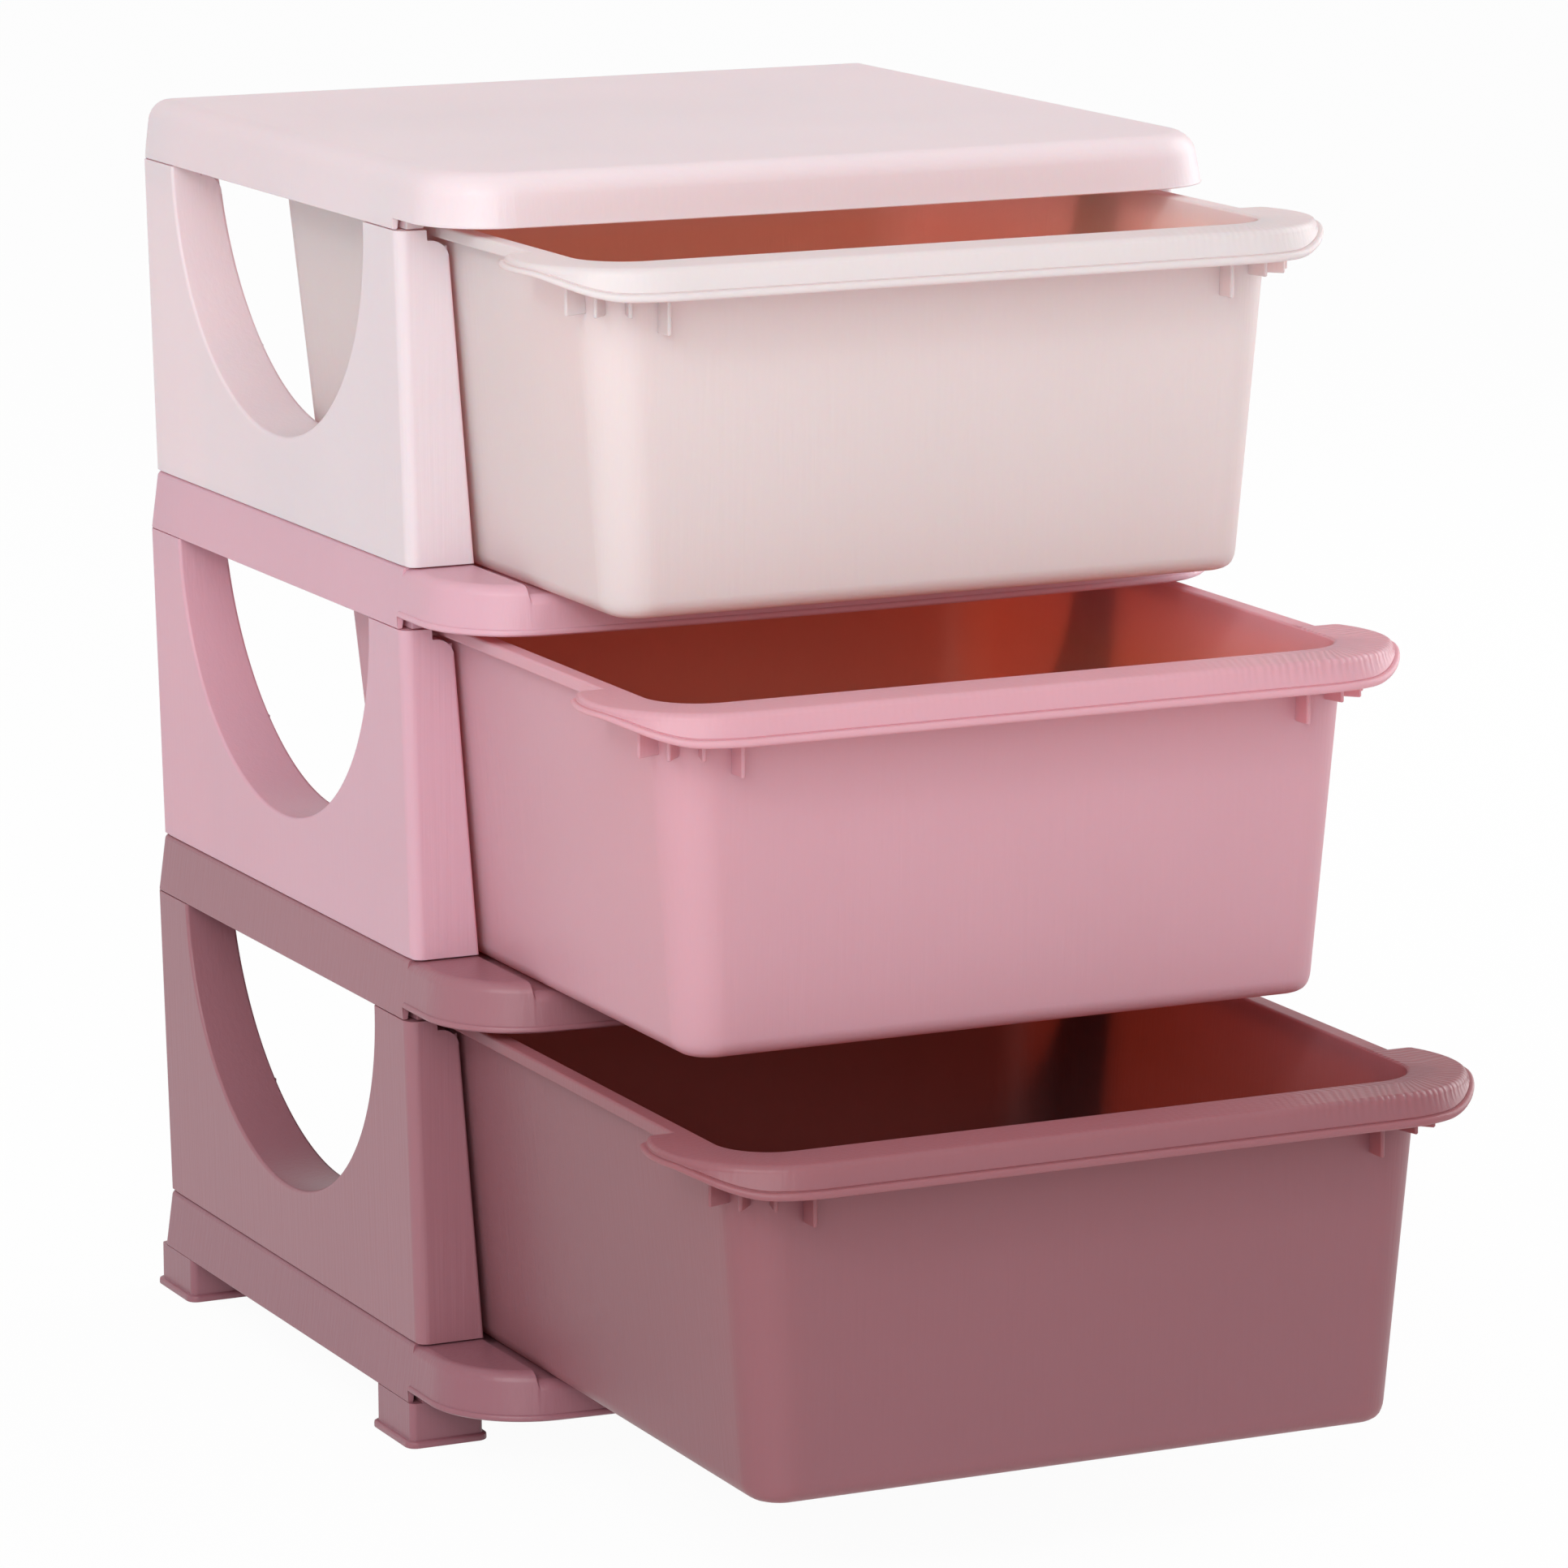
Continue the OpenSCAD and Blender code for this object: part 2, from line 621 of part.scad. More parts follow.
top_cover();
shelf_frame_upper();
shelf_frame_lower();
base_frame();
side_panel_top_left();
side_panel_top_right();
side_panel_middle_left();
side_panel_middle_right();
side_panel_bottom_left();
side_panel_bottom_right();
drawer_top();
drawer_middle();
drawer_bottom();
foot_front_left();
foot_front_right();
foot_back_left();
foot_back_right();
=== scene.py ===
"""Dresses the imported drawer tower: moulded skins, satin plastics, studio and camera.

Shapes are worked out in millimetres: x to the right, y to the back with 0 in the middle of the side walls,
z up. A skin is a grid of points: rings that follow one another over the surface, each closed round it."""
from collections import namedtuple
from math import radians

import bmesh
import bpy
import numpy as np
from mathutils import Matrix, Vector


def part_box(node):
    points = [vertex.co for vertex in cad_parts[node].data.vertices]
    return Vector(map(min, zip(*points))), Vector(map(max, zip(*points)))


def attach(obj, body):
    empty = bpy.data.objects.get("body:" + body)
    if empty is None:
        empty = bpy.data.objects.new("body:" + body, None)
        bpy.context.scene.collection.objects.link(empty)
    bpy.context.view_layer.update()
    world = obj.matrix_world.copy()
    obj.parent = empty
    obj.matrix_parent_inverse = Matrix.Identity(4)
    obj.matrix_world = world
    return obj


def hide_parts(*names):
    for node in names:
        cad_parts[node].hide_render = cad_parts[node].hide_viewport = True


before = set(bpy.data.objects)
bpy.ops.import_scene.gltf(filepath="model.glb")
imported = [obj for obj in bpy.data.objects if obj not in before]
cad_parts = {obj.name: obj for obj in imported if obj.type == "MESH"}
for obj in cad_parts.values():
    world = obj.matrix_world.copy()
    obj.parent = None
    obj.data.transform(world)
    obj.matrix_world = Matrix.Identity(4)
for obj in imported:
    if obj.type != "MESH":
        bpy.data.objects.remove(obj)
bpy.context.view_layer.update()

# ---- places taken from the frame ----

MM = 0.001


def box_mm(node):
    """Lowest and highest corner of a CAD node, in millimetres."""
    low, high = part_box(node)
    return np.array(low) / MM, np.array(high) / MM


panel_low, panel_high = box_mm("side_panel_top_left")
cover_low, cover_high = box_mm("top_cover")
MID_Y = (panel_low[1] + panel_high[1]) / 2
HALF_W = cover_high[0]
HALF_D = cover_high[1] - MID_Y
COVER_H = cover_high[2] - cover_low[2]
PANEL_END = (panel_high[1] - panel_low[1]) / 2
# Top of each tier's side panels: the lower edge of the cover or frame that rests on them
TIER_TOP = {"top": cover_low[2],
            "middle": box_mm("shelf_frame_upper")[0][2],
            "bottom": box_mm("shelf_frame_lower")[0][2]}
WALL = 2.4

# ---- mesh helpers ----

MERGE_AT = 2e-6
SHARP_FROM = radians(38)


def ease(t):
    """Smooth step: 3t^2 - 2t^3 between 0 and 1."""
    t = np.clip(t, 0, 1)
    return t * t * (3 - 2 * t)


def quarter_round(count, start=0.0):
    """Steps of a quarter circle of radius 1, at even angles from start to a right angle: pairs of 1 - cos,
    which grows to 1, and 1 - sin, which falls to 0."""
    angles = np.linspace(start, np.pi / 2, count)
    return list(zip(1 - np.cos(angles), 1 - np.sin(angles)))


def ring_faces(rows, cols):
    """Quads of a grid of rows x cols points whose columns run round and close."""
    row, col = np.meshgrid(np.arange(rows - 1), np.arange(cols), indexing="ij")
    here, beside = row * cols + col, row * cols + (col + 1) % cols
    return np.stack([here, beside, beside + cols, here + cols], -1).reshape(-1, 4).tolist()


def closed_skin(rings):
    """Closed skin through rings of shape (rows, cols, 3): quads between rings, a flat face at each end."""
    rows, cols = rings.shape[:2]
    first = list(range(cols))[::-1]
    last = [(rows - 1) * cols + col for col in range(cols)]
    return rings.reshape(-1, 3), ring_faces(rows, cols) + [first, last]


def bar(low, high, chamfer=0.4):
    """Box from corner low to corner high with chamfered edges: four eight-sided rings up its height. The
    first and last are pulled in by the chamfer, the two between have their corners cut by it."""
    (x0, y0, z0), (x1, y1, z1) = low, high
    rings = []
    for z, inset in ((z0, chamfer), (z0 + chamfer, 0), (z1 - chamfer, 0), (z1, chamfer)):
        cut = chamfer - inset
        left, right, near, far = x0 + inset, x1 - inset, y0 + inset, y1 - inset
        rings.append([(left + cut, near, z), (right - cut, near, z), (right, near + cut, z),
                      (right, far - cut, z), (right - cut, far, z), (left + cut, far, z),
                      (left, far - cut, z), (left, near + cut, z)])
    return closed_skin(np.array(rings, float))


def joined(parts):
    """Several (points, faces) pairs as one."""
    points, faces, base = [], [], 0
    for part_points, part_faces in parts:
        points.append(part_points)
        faces += [[i + base for i in face] for face in part_faces]
        base += len(part_points)
    return np.concatenate(points), faces


def mirrored(points, faces):
    """The same skin on the other side of the tower."""
    return points * np.array([-1, 1, 1]), [face[::-1] for face in faces]


def both_halves(x, y, z):
    """Closed ring: the right half from front to back, then its mirror image from back to front."""
    right = np.stack([x, y, np.broadcast_to(z, x.shape)], -1)
    left = right[1:-1][::-1] * np.array([-1, 1, 1])
    return np.concatenate([right, left])


def all_round(values):
    """One value per column of the right half, carried on over the columns of the left half."""
    return np.concatenate([values, values[1:-1][::-1]])


def add_piece(node, skin, place, material, body="tower", marks=None):
    """Puts a skin that stands for a CAD node into the scene, moved to its place in the tower, with the
    named values of its points that the material reads. Doubles are merged, and flat faces shade flat."""
    points, faces = skin
    mesh = bpy.data.meshes.new(node + "_shell")
    mesh.from_pydata(((points + place + np.array([0, MID_Y, 0])) * MM).tolist(), [], faces)
    for mark, values in (marks or {}).items():
        layer = mesh.attributes.new(mark, "FLOAT", "POINT")
        layer.data.foreach_set("value", np.asarray(values, np.float32))
    merged = bmesh.new()
    merged.from_mesh(mesh)
    bmesh.ops.remove_doubles(merged, verts=merged.verts, dist=MERGE_AT)
    bmesh.ops.dissolve_degenerate(merged, edges=merged.edges, dist=MERGE_AT)
    merged.to_mesh(mesh)
    merged.free()
    mesh.shade_smooth()
    mesh.set_sharp_from_angle(angle=SHARP_FROM)
    mesh.materials.append(material)
    piece = bpy.data.objects.new(node + "_shell", mesh)
    bpy.context.scene.collection.objects.link(piece)
    even = piece.modifiers.new("even_shading", "WEIGHTED_NORMAL")
    even.keep_sharp = True
    even.weight = 60
    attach(piece, body)
    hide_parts(node)


# ---- drawers: y runs back from the front of the box's mouth, z up from the top of the tier's panels ----

# Box, whose walls lean in towards its floor
RIM = 1.0
BOX_W = 323.0
BOX_L = 360.0
BOX_H = 151.1
BOX_LOW = RIM - BOX_H
SIDE_LEAN = 12.5
FRONT_LEAN = 7.0
BACK_LEAN = 13.0
BOX_R = 22.0
MOUTH_R = 24.5
MOUTH_EDGE = 1.3
LEAST_R = 1.5
FLOOR_R = 8.0
FLOOR_IN = 14.0
UNDER_RIM = RIM - WALL - 0.2
# Fillet between the wall and the underside of the rim, in steps down the wall and out from it
RIM_FILLET = ((0.8, 0), (0.2, 0.25), (0, 0.9))
# Flange along the sides and back, hooked down over the panels' runners
FLANGE_W = 6.0
FLANGE_BACK = 1.8
FLANGE_LOW = RIM - 5.4
FLANGE_NOSE = 0.5
FLANGE_FACE = 1.6
FLANGE_R = 1.2
FLANGE_TOP_IN = 1.6
FLANGE_FILLET, FLANGE_DRAFT, FLANGE_HEM = 0.6, 0.3, 0.4
# Handle: an apron in front and round the corners, which thins out between two angles into a wing
REACH = 28.0
HANDLE_HALF = 187.0
HANDLE_R = 55.0
CENTRE_X, CENTRE_Y = HANDLE_HALF - HANDLE_R, HANDLE_R - REACH
THIN_FROM, THIN_TO = -65.0, -12.0
WING_BACK = 50.0
WING_END_R = 1.2
APRON_H, WING_H = 13.6, 4.8
APRON_LEAN = 2.0
APRON_FILLET, APRON_DRAFT, APRON_HEM = 0.8, 0.1, 0.5
EDGE_R, EDGE_SHARE = 3.4, 0.75
EDGE_START = 0.2
BEAD_H, WING_BEAD_H = 3.3, 2.3
BEAD_OUT = 2.0
BEAD_NOSE = 1.3
# The groove over the bead is wider where the bead is tall
GROOVE_IN, GROOVE_WIDER, TALL_BEAD = 0.35, 0.45, 2.5

# Stretches of a drawer's skin on its right half, and how many columns of points each has
FRONT, CORNER, WING, SIDE, BACK_CORNER, BACK = range(6)
N_FRONT, N_CORNER, N_WING, N_SIDE, N_BACK = 16, 26, 10, 18, 12
WING_ROUND_FROM, N_WING_ROUND = 0.96, 5


def column_shares():
    """For each column of the right half: the stretch that it lies on and its share along it, 0 to 1, in
    even steps, with a second run of closer steps at the wing's end."""
    shares = {
        FRONT: np.linspace(0, 1, N_FRONT, endpoint=False),
        CORNER: np.linspace(0, 1, N_CORNER, endpoint=False),
        WING: np.concatenate([np.linspace(0, WING_ROUND_FROM, N_WING, endpoint=False),
                              np.linspace(WING_ROUND_FROM, 1, N_WING_ROUND)]),
        SIDE: np.linspace(0, 1, N_SIDE, endpoint=False),
        BACK_CORNER: np.linspace(0, 1, N_BACK, endpoint=False),
        BACK: np.linspace(0, 1, N_BACK),
    }
    stretch = np.concatenate([np.full(len(share), name) for name, share in shares.items()])
    return stretch, np.concatenate(list(shares.values()))


STRETCH, SHARE = column_shares()
ON_HANDLE = STRETCH <= WING
FRONT_ANGLE = np.pi / 2 * (SHARE - 1)
BACK_ANGLE = np.pi / 2 * SHARE


def side_and_back(half, back, r):
    """Places of the columns behind the wings: the side at x = half from y = WING_BACK on, a quarter circle
    of radius r, and the back at y = back."""
    x = np.select([STRETCH <= SIDE, STRETCH == BACK_CORNER],
                  [half, half - r + r * np.cos(BACK_ANGLE)], (1 - SHARE) * (half - r))
    y = np.select([STRETCH <= SIDE, STRETCH == BACK_CORNER],
                  [WING_BACK + SHARE * (back - r - WING_BACK), back - r + r * np.sin(BACK_ANGLE)], back)
    return x, y


def box_ring(z, inset, inner=False):
    """The box at height z, moved in by inset: a rectangle whose sides lean in towards the floor, with
    quarter-circle corners. Outside, their radius is BOX_R less a quarter of the side's lean and the inset,
    which counts twice over the first WALL. Inside, it is MOUTH_R less the same lean and less what the inset
    has past WALL."""
    drop = (RIM - z) / BOX_H
    half = BOX_W / 2 - SIDE_LEAN * drop - inset
    near = FRONT_LEAN * drop + inset
    back = BOX_L - BACK_LEAN * drop - inset
    if inner:
        r = MOUTH_R - max(inset - WALL, 0)
    else:
        r = BOX_R - inset - np.clip(inset, 0, WALL)
    r = max(r - SIDE_LEAN * drop / 4, LEAST_R)
    x, y = side_and_back(half, back, r)
    x = np.select([STRETCH == FRONT, STRETCH == CORNER],
                  [SHARE * (half - r), half - r + r * np.cos(FRONT_ANGLE)], x)
    y = np.select([STRETCH == FRONT, STRETCH == CORNER, STRETCH == WING],
                  [near, near + r + r * np.sin(FRONT_ANGLE), near + r + SHARE * (WING_BACK - near - r)], y)
    return both_halves(x, y, z)


def handle_angle(inset):
    """Angle round the handle's corner, in radians, for each column: even steps over the corner, then even
    steps along the wing to the angle at which a circle of radius HANDLE_R - inset reaches WING_BACK."""
    end = np.arcsin(np.clip((WING_BACK - CENTRE_Y) / (HANDLE_R - inset), -1, 1))
    return np.select([STRETCH == FRONT, STRETCH == CORNER, STRETCH == WING],
                     [-np.pi / 2, FRONT_ANGLE, SHARE * end], end)


def wing_rounding():
    """Extra inset of the last wing columns: a quarter circle that rounds the wing's upright end edge."""
    along = np.where(STRETCH == WING, (SHARE - WING_ROUND_FROM) / (1 - WING_ROUND_FROM), 0)
    return WING_END_R * (1 - np.sqrt(1 - np.clip(along, 0, 1) ** 2))


WING_ROUNDING = wing_rounding()


def outer_ring(inset, flange_inset, z, flange_z):
    """The handle's outline moved in by inset at height z, and behind its wings the flange's outline moved
    in by flange_inset at height flange_z. The handle has a straight front and then a circle of radius
    HANDLE_R - inset round the corner's centre, carried on past the side to the wing's square end."""
    inset = inset + WING_ROUNDING
    r = HANDLE_R - inset
    angle = handle_angle(inset)
    back = BOX_L + FLANGE_BACK - min(flange_inset, FLANGE_BACK / 2 + 0.2 * flange_inset)
    x, y = side_and_back(BOX_W / 2 + FLANGE_W - flange_inset, back, BOX_R - (FLANGE_W + flange_inset) / 2)
    x = np.select([STRETCH == FRONT, ON_HANDLE], [SHARE * CENTRE_X, CENTRE_X + r * np.cos(angle)], x)
    y = np.select([STRETCH == FRONT, ON_HANDLE], [inset - REACH, CENTRE_Y + r * np.sin(angle)], y)
    return both_halves(x, y, np.where(ON_HANDLE, z, flange_z))


def handle_profile():
    """For each column: the height of the apron's lower edge, the bead's height, how far in the top of the
    apron's face lies, and the radius of its upper edge. The apron and its bead ease into the wing's heights
    between the angles THIN_FROM and THIN_TO, in degrees round the corner from the side."""
    thin = ease((np.degrees(handle_angle(0)) - THIN_FROM) / (THIN_TO - THIN_FROM))
    tall = APRON_H + (WING_H - APRON_H) * thin
    bead = BEAD_H + (WING_BEAD_H - BEAD_H) * thin
    lean = BEAD_OUT + APRON_LEAN * tall / APRON_H
    return RIM - tall, bead, lean, np.minimum(EDGE_R, EDGE_SHARE * (tall - bead))


def box_outside():
    """Rings up the outside of the box: floor, quarter circle, leaning wall, fillet under the rim."""
    bend = BOX_LOW + FLOOR_R
    rings = [box_ring(BOX_LOW, FLOOR_R + FLOOR_IN)]
    rings += [box_ring(BOX_LOW + FLOOR_R * grow, FLOOR_R * fall) for grow, fall in quarter_round(8)]
    rings += [box_ring(bend + share * (UNDER_RIM - bend), 0) for share in np.linspace(0.12, 0.97, 6)]
    return rings + [box_ring(UNDER_RIM - down, -out) for down, out in RIM_FILLET]


def apron_inside(bottom, lean):
    """Rings out under the handle and flange and down behind the apron: a fillet at the top, a wall with a
    slight draft, and a broken edge at the bottom."""
    back = lean + WALL
    return [outer_ring(back + APRON_FILLET, WALL + FLANGE_FILLET, UNDER_RIM, UNDER_RIM),
            outer_ring(back + APRON_DRAFT, WALL, UNDER_RIM - APRON_FILLET, UNDER_RIM - FLANGE_FILLET),
            outer_ring(BEAD_OUT + WALL, WALL - FLANGE_DRAFT, bottom + APRON_HEM, FLANGE_LOW + FLANGE_HEM),
            outer_ring(BEAD_OUT + WALL - APRON_HEM, WALL - FLANGE_DRAFT - FLANGE_HEM, bottom, FLANGE_LOW)]


def bead_rings(bottom, bead):
    """Rings round the bead along the apron's lower edge, half an ellipse of depth BEAD_NOSE, and then into
    the groove above it and out again. The flange's lower edge is a quarter of an ellipse there."""
    rings = []
    for angle in np.linspace(-np.pi / 2, np.pi / 2, 9):
        up = (np.sin(angle) + 1) / 2
        rings.append(outer_ring(BEAD_NOSE * (1 - np.cos(angle)), FLANGE_NOSE * (1 - np.cos(min(angle, 0))),
                                bottom + bead * up, FLANGE_LOW + FLANGE_FACE * up))
    above, wider = bottom + bead, GROOVE_WIDER * (bead > TALL_BEAD)
    return rings + [outer_ring(BEAD_OUT + GROOVE_IN - 0.05, 0, above + 0.05, FLANGE_LOW + 1.8),
                    outer_ring(BEAD_OUT + GROOVE_IN, 0, above + 0.2, FLANGE_LOW + 1.9),
                    outer_ring(BEAD_OUT + 0.1, 0, above + 0.25 + wider, FLANGE_LOW + 2.0)]


def apron_outside(lean, edge):
    """Rings up the apron's face, over its upper edge and the flange's, both quarter circles, and in over
    the top: to the box's outline inside the handle, and a little way over the flange behind it."""
    rings = [outer_ring(lean, 0, RIM - edge, RIM - 1.4)]
    rings += [outer_ring(lean + edge * grow, FLANGE_R * grow, RIM - edge * fall, RIM - FLANGE_R * fall)
              for grow, fall in quarter_round(7, EDGE_START)]
    over_box = box_ring(RIM, FLANGE_TOP_IN - FLANGE_W)
    over_flange = outer_ring(0, FLANGE_TOP_IN, RIM, RIM)
    return rings + [np.where(all_round(ON_HANDLE)[:, None], over_box, over_flange)]


def box_inside():
    """Rings over the rim's inner edge, and then rings down the leaning inner wall and round its bend to the
    middle of the floor, as two lists."""
    top, floor, bend = RIM - MOUTH_EDGE, BOX_LOW + WALL, FLOOR_R - WALL
    edge = [box_ring(RIM - MOUTH_EDGE * grow, WALL - MOUTH_EDGE * fall, True)
            for grow, fall in quarter_round(5)]
    rings = [box_ring(top + share * (floor + bend - top), WALL, True) for share in np.linspace(0.06, 1, 9)]
    rings += [box_ring(floor + bend * fall, WALL + bend * grow, True)
              for grow, fall in quarter_round(7, EDGE_START)]
    return edge, rings + [box_ring(floor, WALL + bend + FLOOR_IN, True)]


def drawer_rings():
    """All rings of a drawer's skin, from the middle of its underside up the outer wall, out and round the
    handle and the flange, over the rim and down the inner wall to the middle of its floor. With each point
    comes how deep inside the box it lies: its drop below the rim as a share of the box's height."""
    bottom, bead, lean, edge = handle_profile()
    rim_edge, inside = box_inside()
    outside = box_outside() + apron_inside(bottom, lean) + bead_rings(bottom, bead)
    outside += apron_outside(lean, edge) + rim_edge
    rings = np.array(outside + inside)
    depth = np.zeros(rings.shape[:2])
    depth[len(outside):] = (RIM - rings[len(outside):, :, 2]) / BOX_H
    return rings, depth.ravel()


# Marks of the mould's tool: their depth on the whole handle, how far down the apron's face they fade out,
# where that face begins, and how far down they reach elsewhere
FAINT = 0.12
MARKS_FADE = 8.0
FACE_Y = -2.0
MARKS_BAND = 0.6


def tool_marks(rings):
    """For each point of a drawer's skin: how far round the drawer it lies, in metres from the middle of the
    front along the apron's edge, the same on both halves, and how deep the tool marks are there, 0 to 1:
    full on the handle's top round its right corner, less down its face, faint elsewhere on the handle."""
    bottom, _, lean, _ = handle_profile()
    edge = apron_inside(bottom, lean)[-1][:len(STRETCH)]
    way = np.concatenate([[0], np.cumsum(np.linalg.norm(np.diff(edge, axis=0), axis=1))])
    faint = np.where(ON_HANDLE, FAINT, 0.0)
    strong = np.select([STRETCH == FRONT, ON_HANDLE], [ease(2 * SHARE - 1), 1.0], 0.0)
    depth = np.concatenate([faint + (1 - FAINT) * strong, faint[1:-1][::-1]])
    height = rings[:, :1, 2]
    on_face = rings[:, :1, 1] < FACE_Y
    fade = np.where(on_face, np.clip((height - RIM) / MARKS_FADE + 1, 0, 1), height > RIM - MARKS_BAND)
    return np.tile(all_round(way) * MM, len(rings)), (fade * depth).ravel()


GUSSET_T, GUSSET_OUT = 1.8, 9.0
FRONT_GUSSET_X, FRONT_GUSSET_IN, FRONT_GUSSET_H = 131.0, 3.4, 29.0
CORNER_GUSSET_IN, CORNER_GUSSET_H = 4.0, 21.0
CORNER_GUSSET_ANGLES = (16, 43.5, 71)
GUSSET_CHAMFER = 0.5


def gusset_bars():
    """Upright plates under the handle: a long one on each side of the front and three round each corner,
    square to the wall. Each corner plate is a plate along x, turned about the corner's centre."""
    top, half = RIM - WALL / 2, GUSSET_T / 2
    parts = [bar((FRONT_GUSSET_X - half, -GUSSET_OUT, top - FRONT_GUSSET_H),
                 (FRONT_GUSSET_X + half, FRONT_GUSSET_IN, top), GUSSET_CHAMFER)]
    plate, faces = bar((BOX_R - CORNER_GUSSET_IN, -half, top - CORNER_GUSSET_H),
                       (BOX_R + GUSSET_OUT, half, top), GUSSET_CHAMFER)
    for angle in CORNER_GUSSET_ANGLES:
        c, s = np.cos(radians(angle - 90)), np.sin(radians(angle - 90))
        turned = plate @ np.array([[c, s, 0], [-s, c, 0], [0, 0, 1]])
        parts.append((turned + np.array([BOX_W / 2 - BOX_R, BOX_R, 0]), faces))
    return parts + [mirrored(*part) for part in parts]


# ---- skirts: the cover and the frames; z runs up from their lower edge ----

# The body, which leans in with its height, and the bowed lip in front of it: half width, reach from the
# middle of the side walls, radius of its corners, and how far its middle stands out past them
Lip = namedtuple("Lip", "half reach corner bow")
COVER_LIP = Lip(HALF_W, HALF_D + 54.5, 36.0, 3.3)
FRAME_LIP = Lip(HALF_W, HALF_D + 68.3, 45.0, 4.5)
LEAN, END_LEAN, LIP_LEAN = 3.5, 0.5, 3.5
CORNER_R, LEAST_CORNER_R = 6.0, 1.0
LIP_LIFT = 4.7
BACK_LIFT = RIM + 0.1
# Rounded edges along the bottom and the top, the fillet under a deck, and the bead round a frame's lip
LOW_EDGE, COVER_LOW_EDGE, INNER_LOW_EDGE = 0.5, 0.7, 0.4
DECK_FILLET = 1.0
COVER_EDGE, FRAME_EDGE, LIP_EDGE = 9.5, 2.2, 4.6
FRAME_BEAD_H, FRAME_BEAD_OUT = 1.2, 0.9
# Heights of the rings up a cover's outer wall, a frame's height, and where its outer wall begins
COVER_FACE = (6.2, 10, 14)
FRAME_H = 26.5
FACE_LIFT = 3.0
# Deck: a track for the drawer above, and a step up to the shoulders beside it
TRACK_Z, SHOULDER_Z = 22.1, 26.0
STEP_X, STEP_HALF = 153.0, 0.7

# Places across a skirt, from its middle to the top of the step: evenly over the track, closer by the step
TRACK_HALF, BY_STEP = 146.0, (149.5, 151.5)
STEP_AT = STEP_X + STEP_HALF * np.linspace(-1, 1, 9)
ACROSS = np.concatenate([np.linspace(0, TRACK_HALF, 16), BY_STEP, STEP_AT])
N_STEP = len(STEP_AT)
N_TRACK = len(ACROSS) - N_STEP
# Columns of points on the right half: the lip's front, corner and side, then the body's front corner,
# flank, back corner, and back
N_LIP, N_LIP_SIDE, N_BEND, N_FLANK, N_BACK_END = 18, 6, 9, 18, 4
LIP_COLS = len(ACROSS) + (N_LIP - 1) + (N_LIP_SIDE - 1)
RIGHT_COLS = LIP_COLS + N_BEND + (N_FLANK - 2) + N_BEND + (N_BACK_END - 1) + len(ACROSS)
RING_COLS = 2 * RIGHT_COLS - 2
LIP_COL = len(ACROSS) - 1
IS_LIP = np.arange(RIGHT_COLS) < LIP_COLS
# Lower edge of a skirt: lifted clear of the drawer below at the lip and at the back
LOWER_Z = np.where(IS_LIP, LIP_LIFT, 0.0)
LOWER_Z[-len(ACROSS) - 2:] = BACK_LIFT


def lip_points(lip, up, inset, z, end_y):
    """Right half of the lip at the share up of its height, moved in by inset: its front as a parabola that
    runs into a circle, that circle, and its side back to end_y. The front stands further out where its
    height z is less than at the step's top, as the lip leans in."""
    half, reach, r = lip.half - LIP_LEAN * up - inset, lip.reach - LIP_LEAN * up - inset, lip.corner - inset
    slope = np.arctan(2 * lip.bow / (half - r))
    meet = half - r * (1 - np.sin(slope))
    cx, cy = half - r, lip.bow - reach + r * np.cos(slope)
    bowed = lip.bow * (ACROSS / meet) ** 2 - reach
    rounded = cy - np.sqrt(np.clip(r ** 2 - np.clip(ACROSS - cx, 0, None) ** 2, 0, None))
    leaning = LIP_LEAN / FRAME_H * (z[LIP_COL] - z[:len(ACROSS)])
    front = np.column_stack([ACROSS, np.where(ACROSS < meet, bowed, rounded) - leaning])
    angle = np.linspace(-np.arccos((ACROSS[-1] - cx) / r), 0, N_LIP)[1:]
    corner = np.column_stack([cx + r * np.cos(angle), cy + r * np.sin(angle)])
    y = np.linspace(cy, end_y, N_LIP_SIDE)[1:]
    return [front, corner, np.column_stack([np.full_like(y, half), y])]


def skirt_ring(lip, up, inset, z):
    """Outline of a skirt and its lip at the share up of their height, moved in by inset, at height z. The
    body is a rectangle with quarter-circle corners, and the lip's side ends where it meets the corner."""
    z = np.broadcast_to(z, RIGHT_COLS)
    half, depth = HALF_W - LEAN * up - inset, HALF_D - END_LEAN * up - inset
    r = max(CORNER_R - inset, LEAST_CORNER_R)
    lip_half = lip.half - LIP_LEAN * up - inset
    bend = np.arccos(np.clip((lip_half - half + r) / r, -1, 1))
    front_lip = lip_points(lip, up, inset, z, r - depth - r * np.sin(bend))
    angle = np.linspace(-bend, 0, N_BEND)
    corner = np.column_stack([half - r + r * np.cos(angle), r - depth + r * np.sin(angle)])
    y = np.linspace(r - depth, depth - r, N_FLANK)[1:-1]
    flank = np.column_stack([np.full_like(y, half), y])
    angle = np.linspace(0, np.pi / 2, N_BEND)
    back_corner = np.column_stack([half - r + r * np.cos(angle), depth - r + r * np.sin(angle)])
    x = np.concatenate([np.linspace(half - r, ACROSS[-1], N_BACK_END)[1:], ACROSS[::-1]])
    back = np.column_stack([x, np.full_like(x, depth)])
    right = np.concatenate(front_lip + [corner, flank, back_corner, back])
    return both_halves(right[:, 0], right[:, 1], z)


# Blocks that hold the panels' tenons, and ribs that stiffen a deck
SOCKET_X, SOCKET_Y, SOCKET_LOW = (174.2, 182.4), (123.3, 154.0), 0.05
RIB_T, RIB_H, RIB_IN = 2.0, 9.0, 0.5
CROSS_RIB_HALF, CROSS_RIB_Y = 155.0, np.linspace(-125, 125, 5)
LONG_RIB_X = (-81, 0, 81)


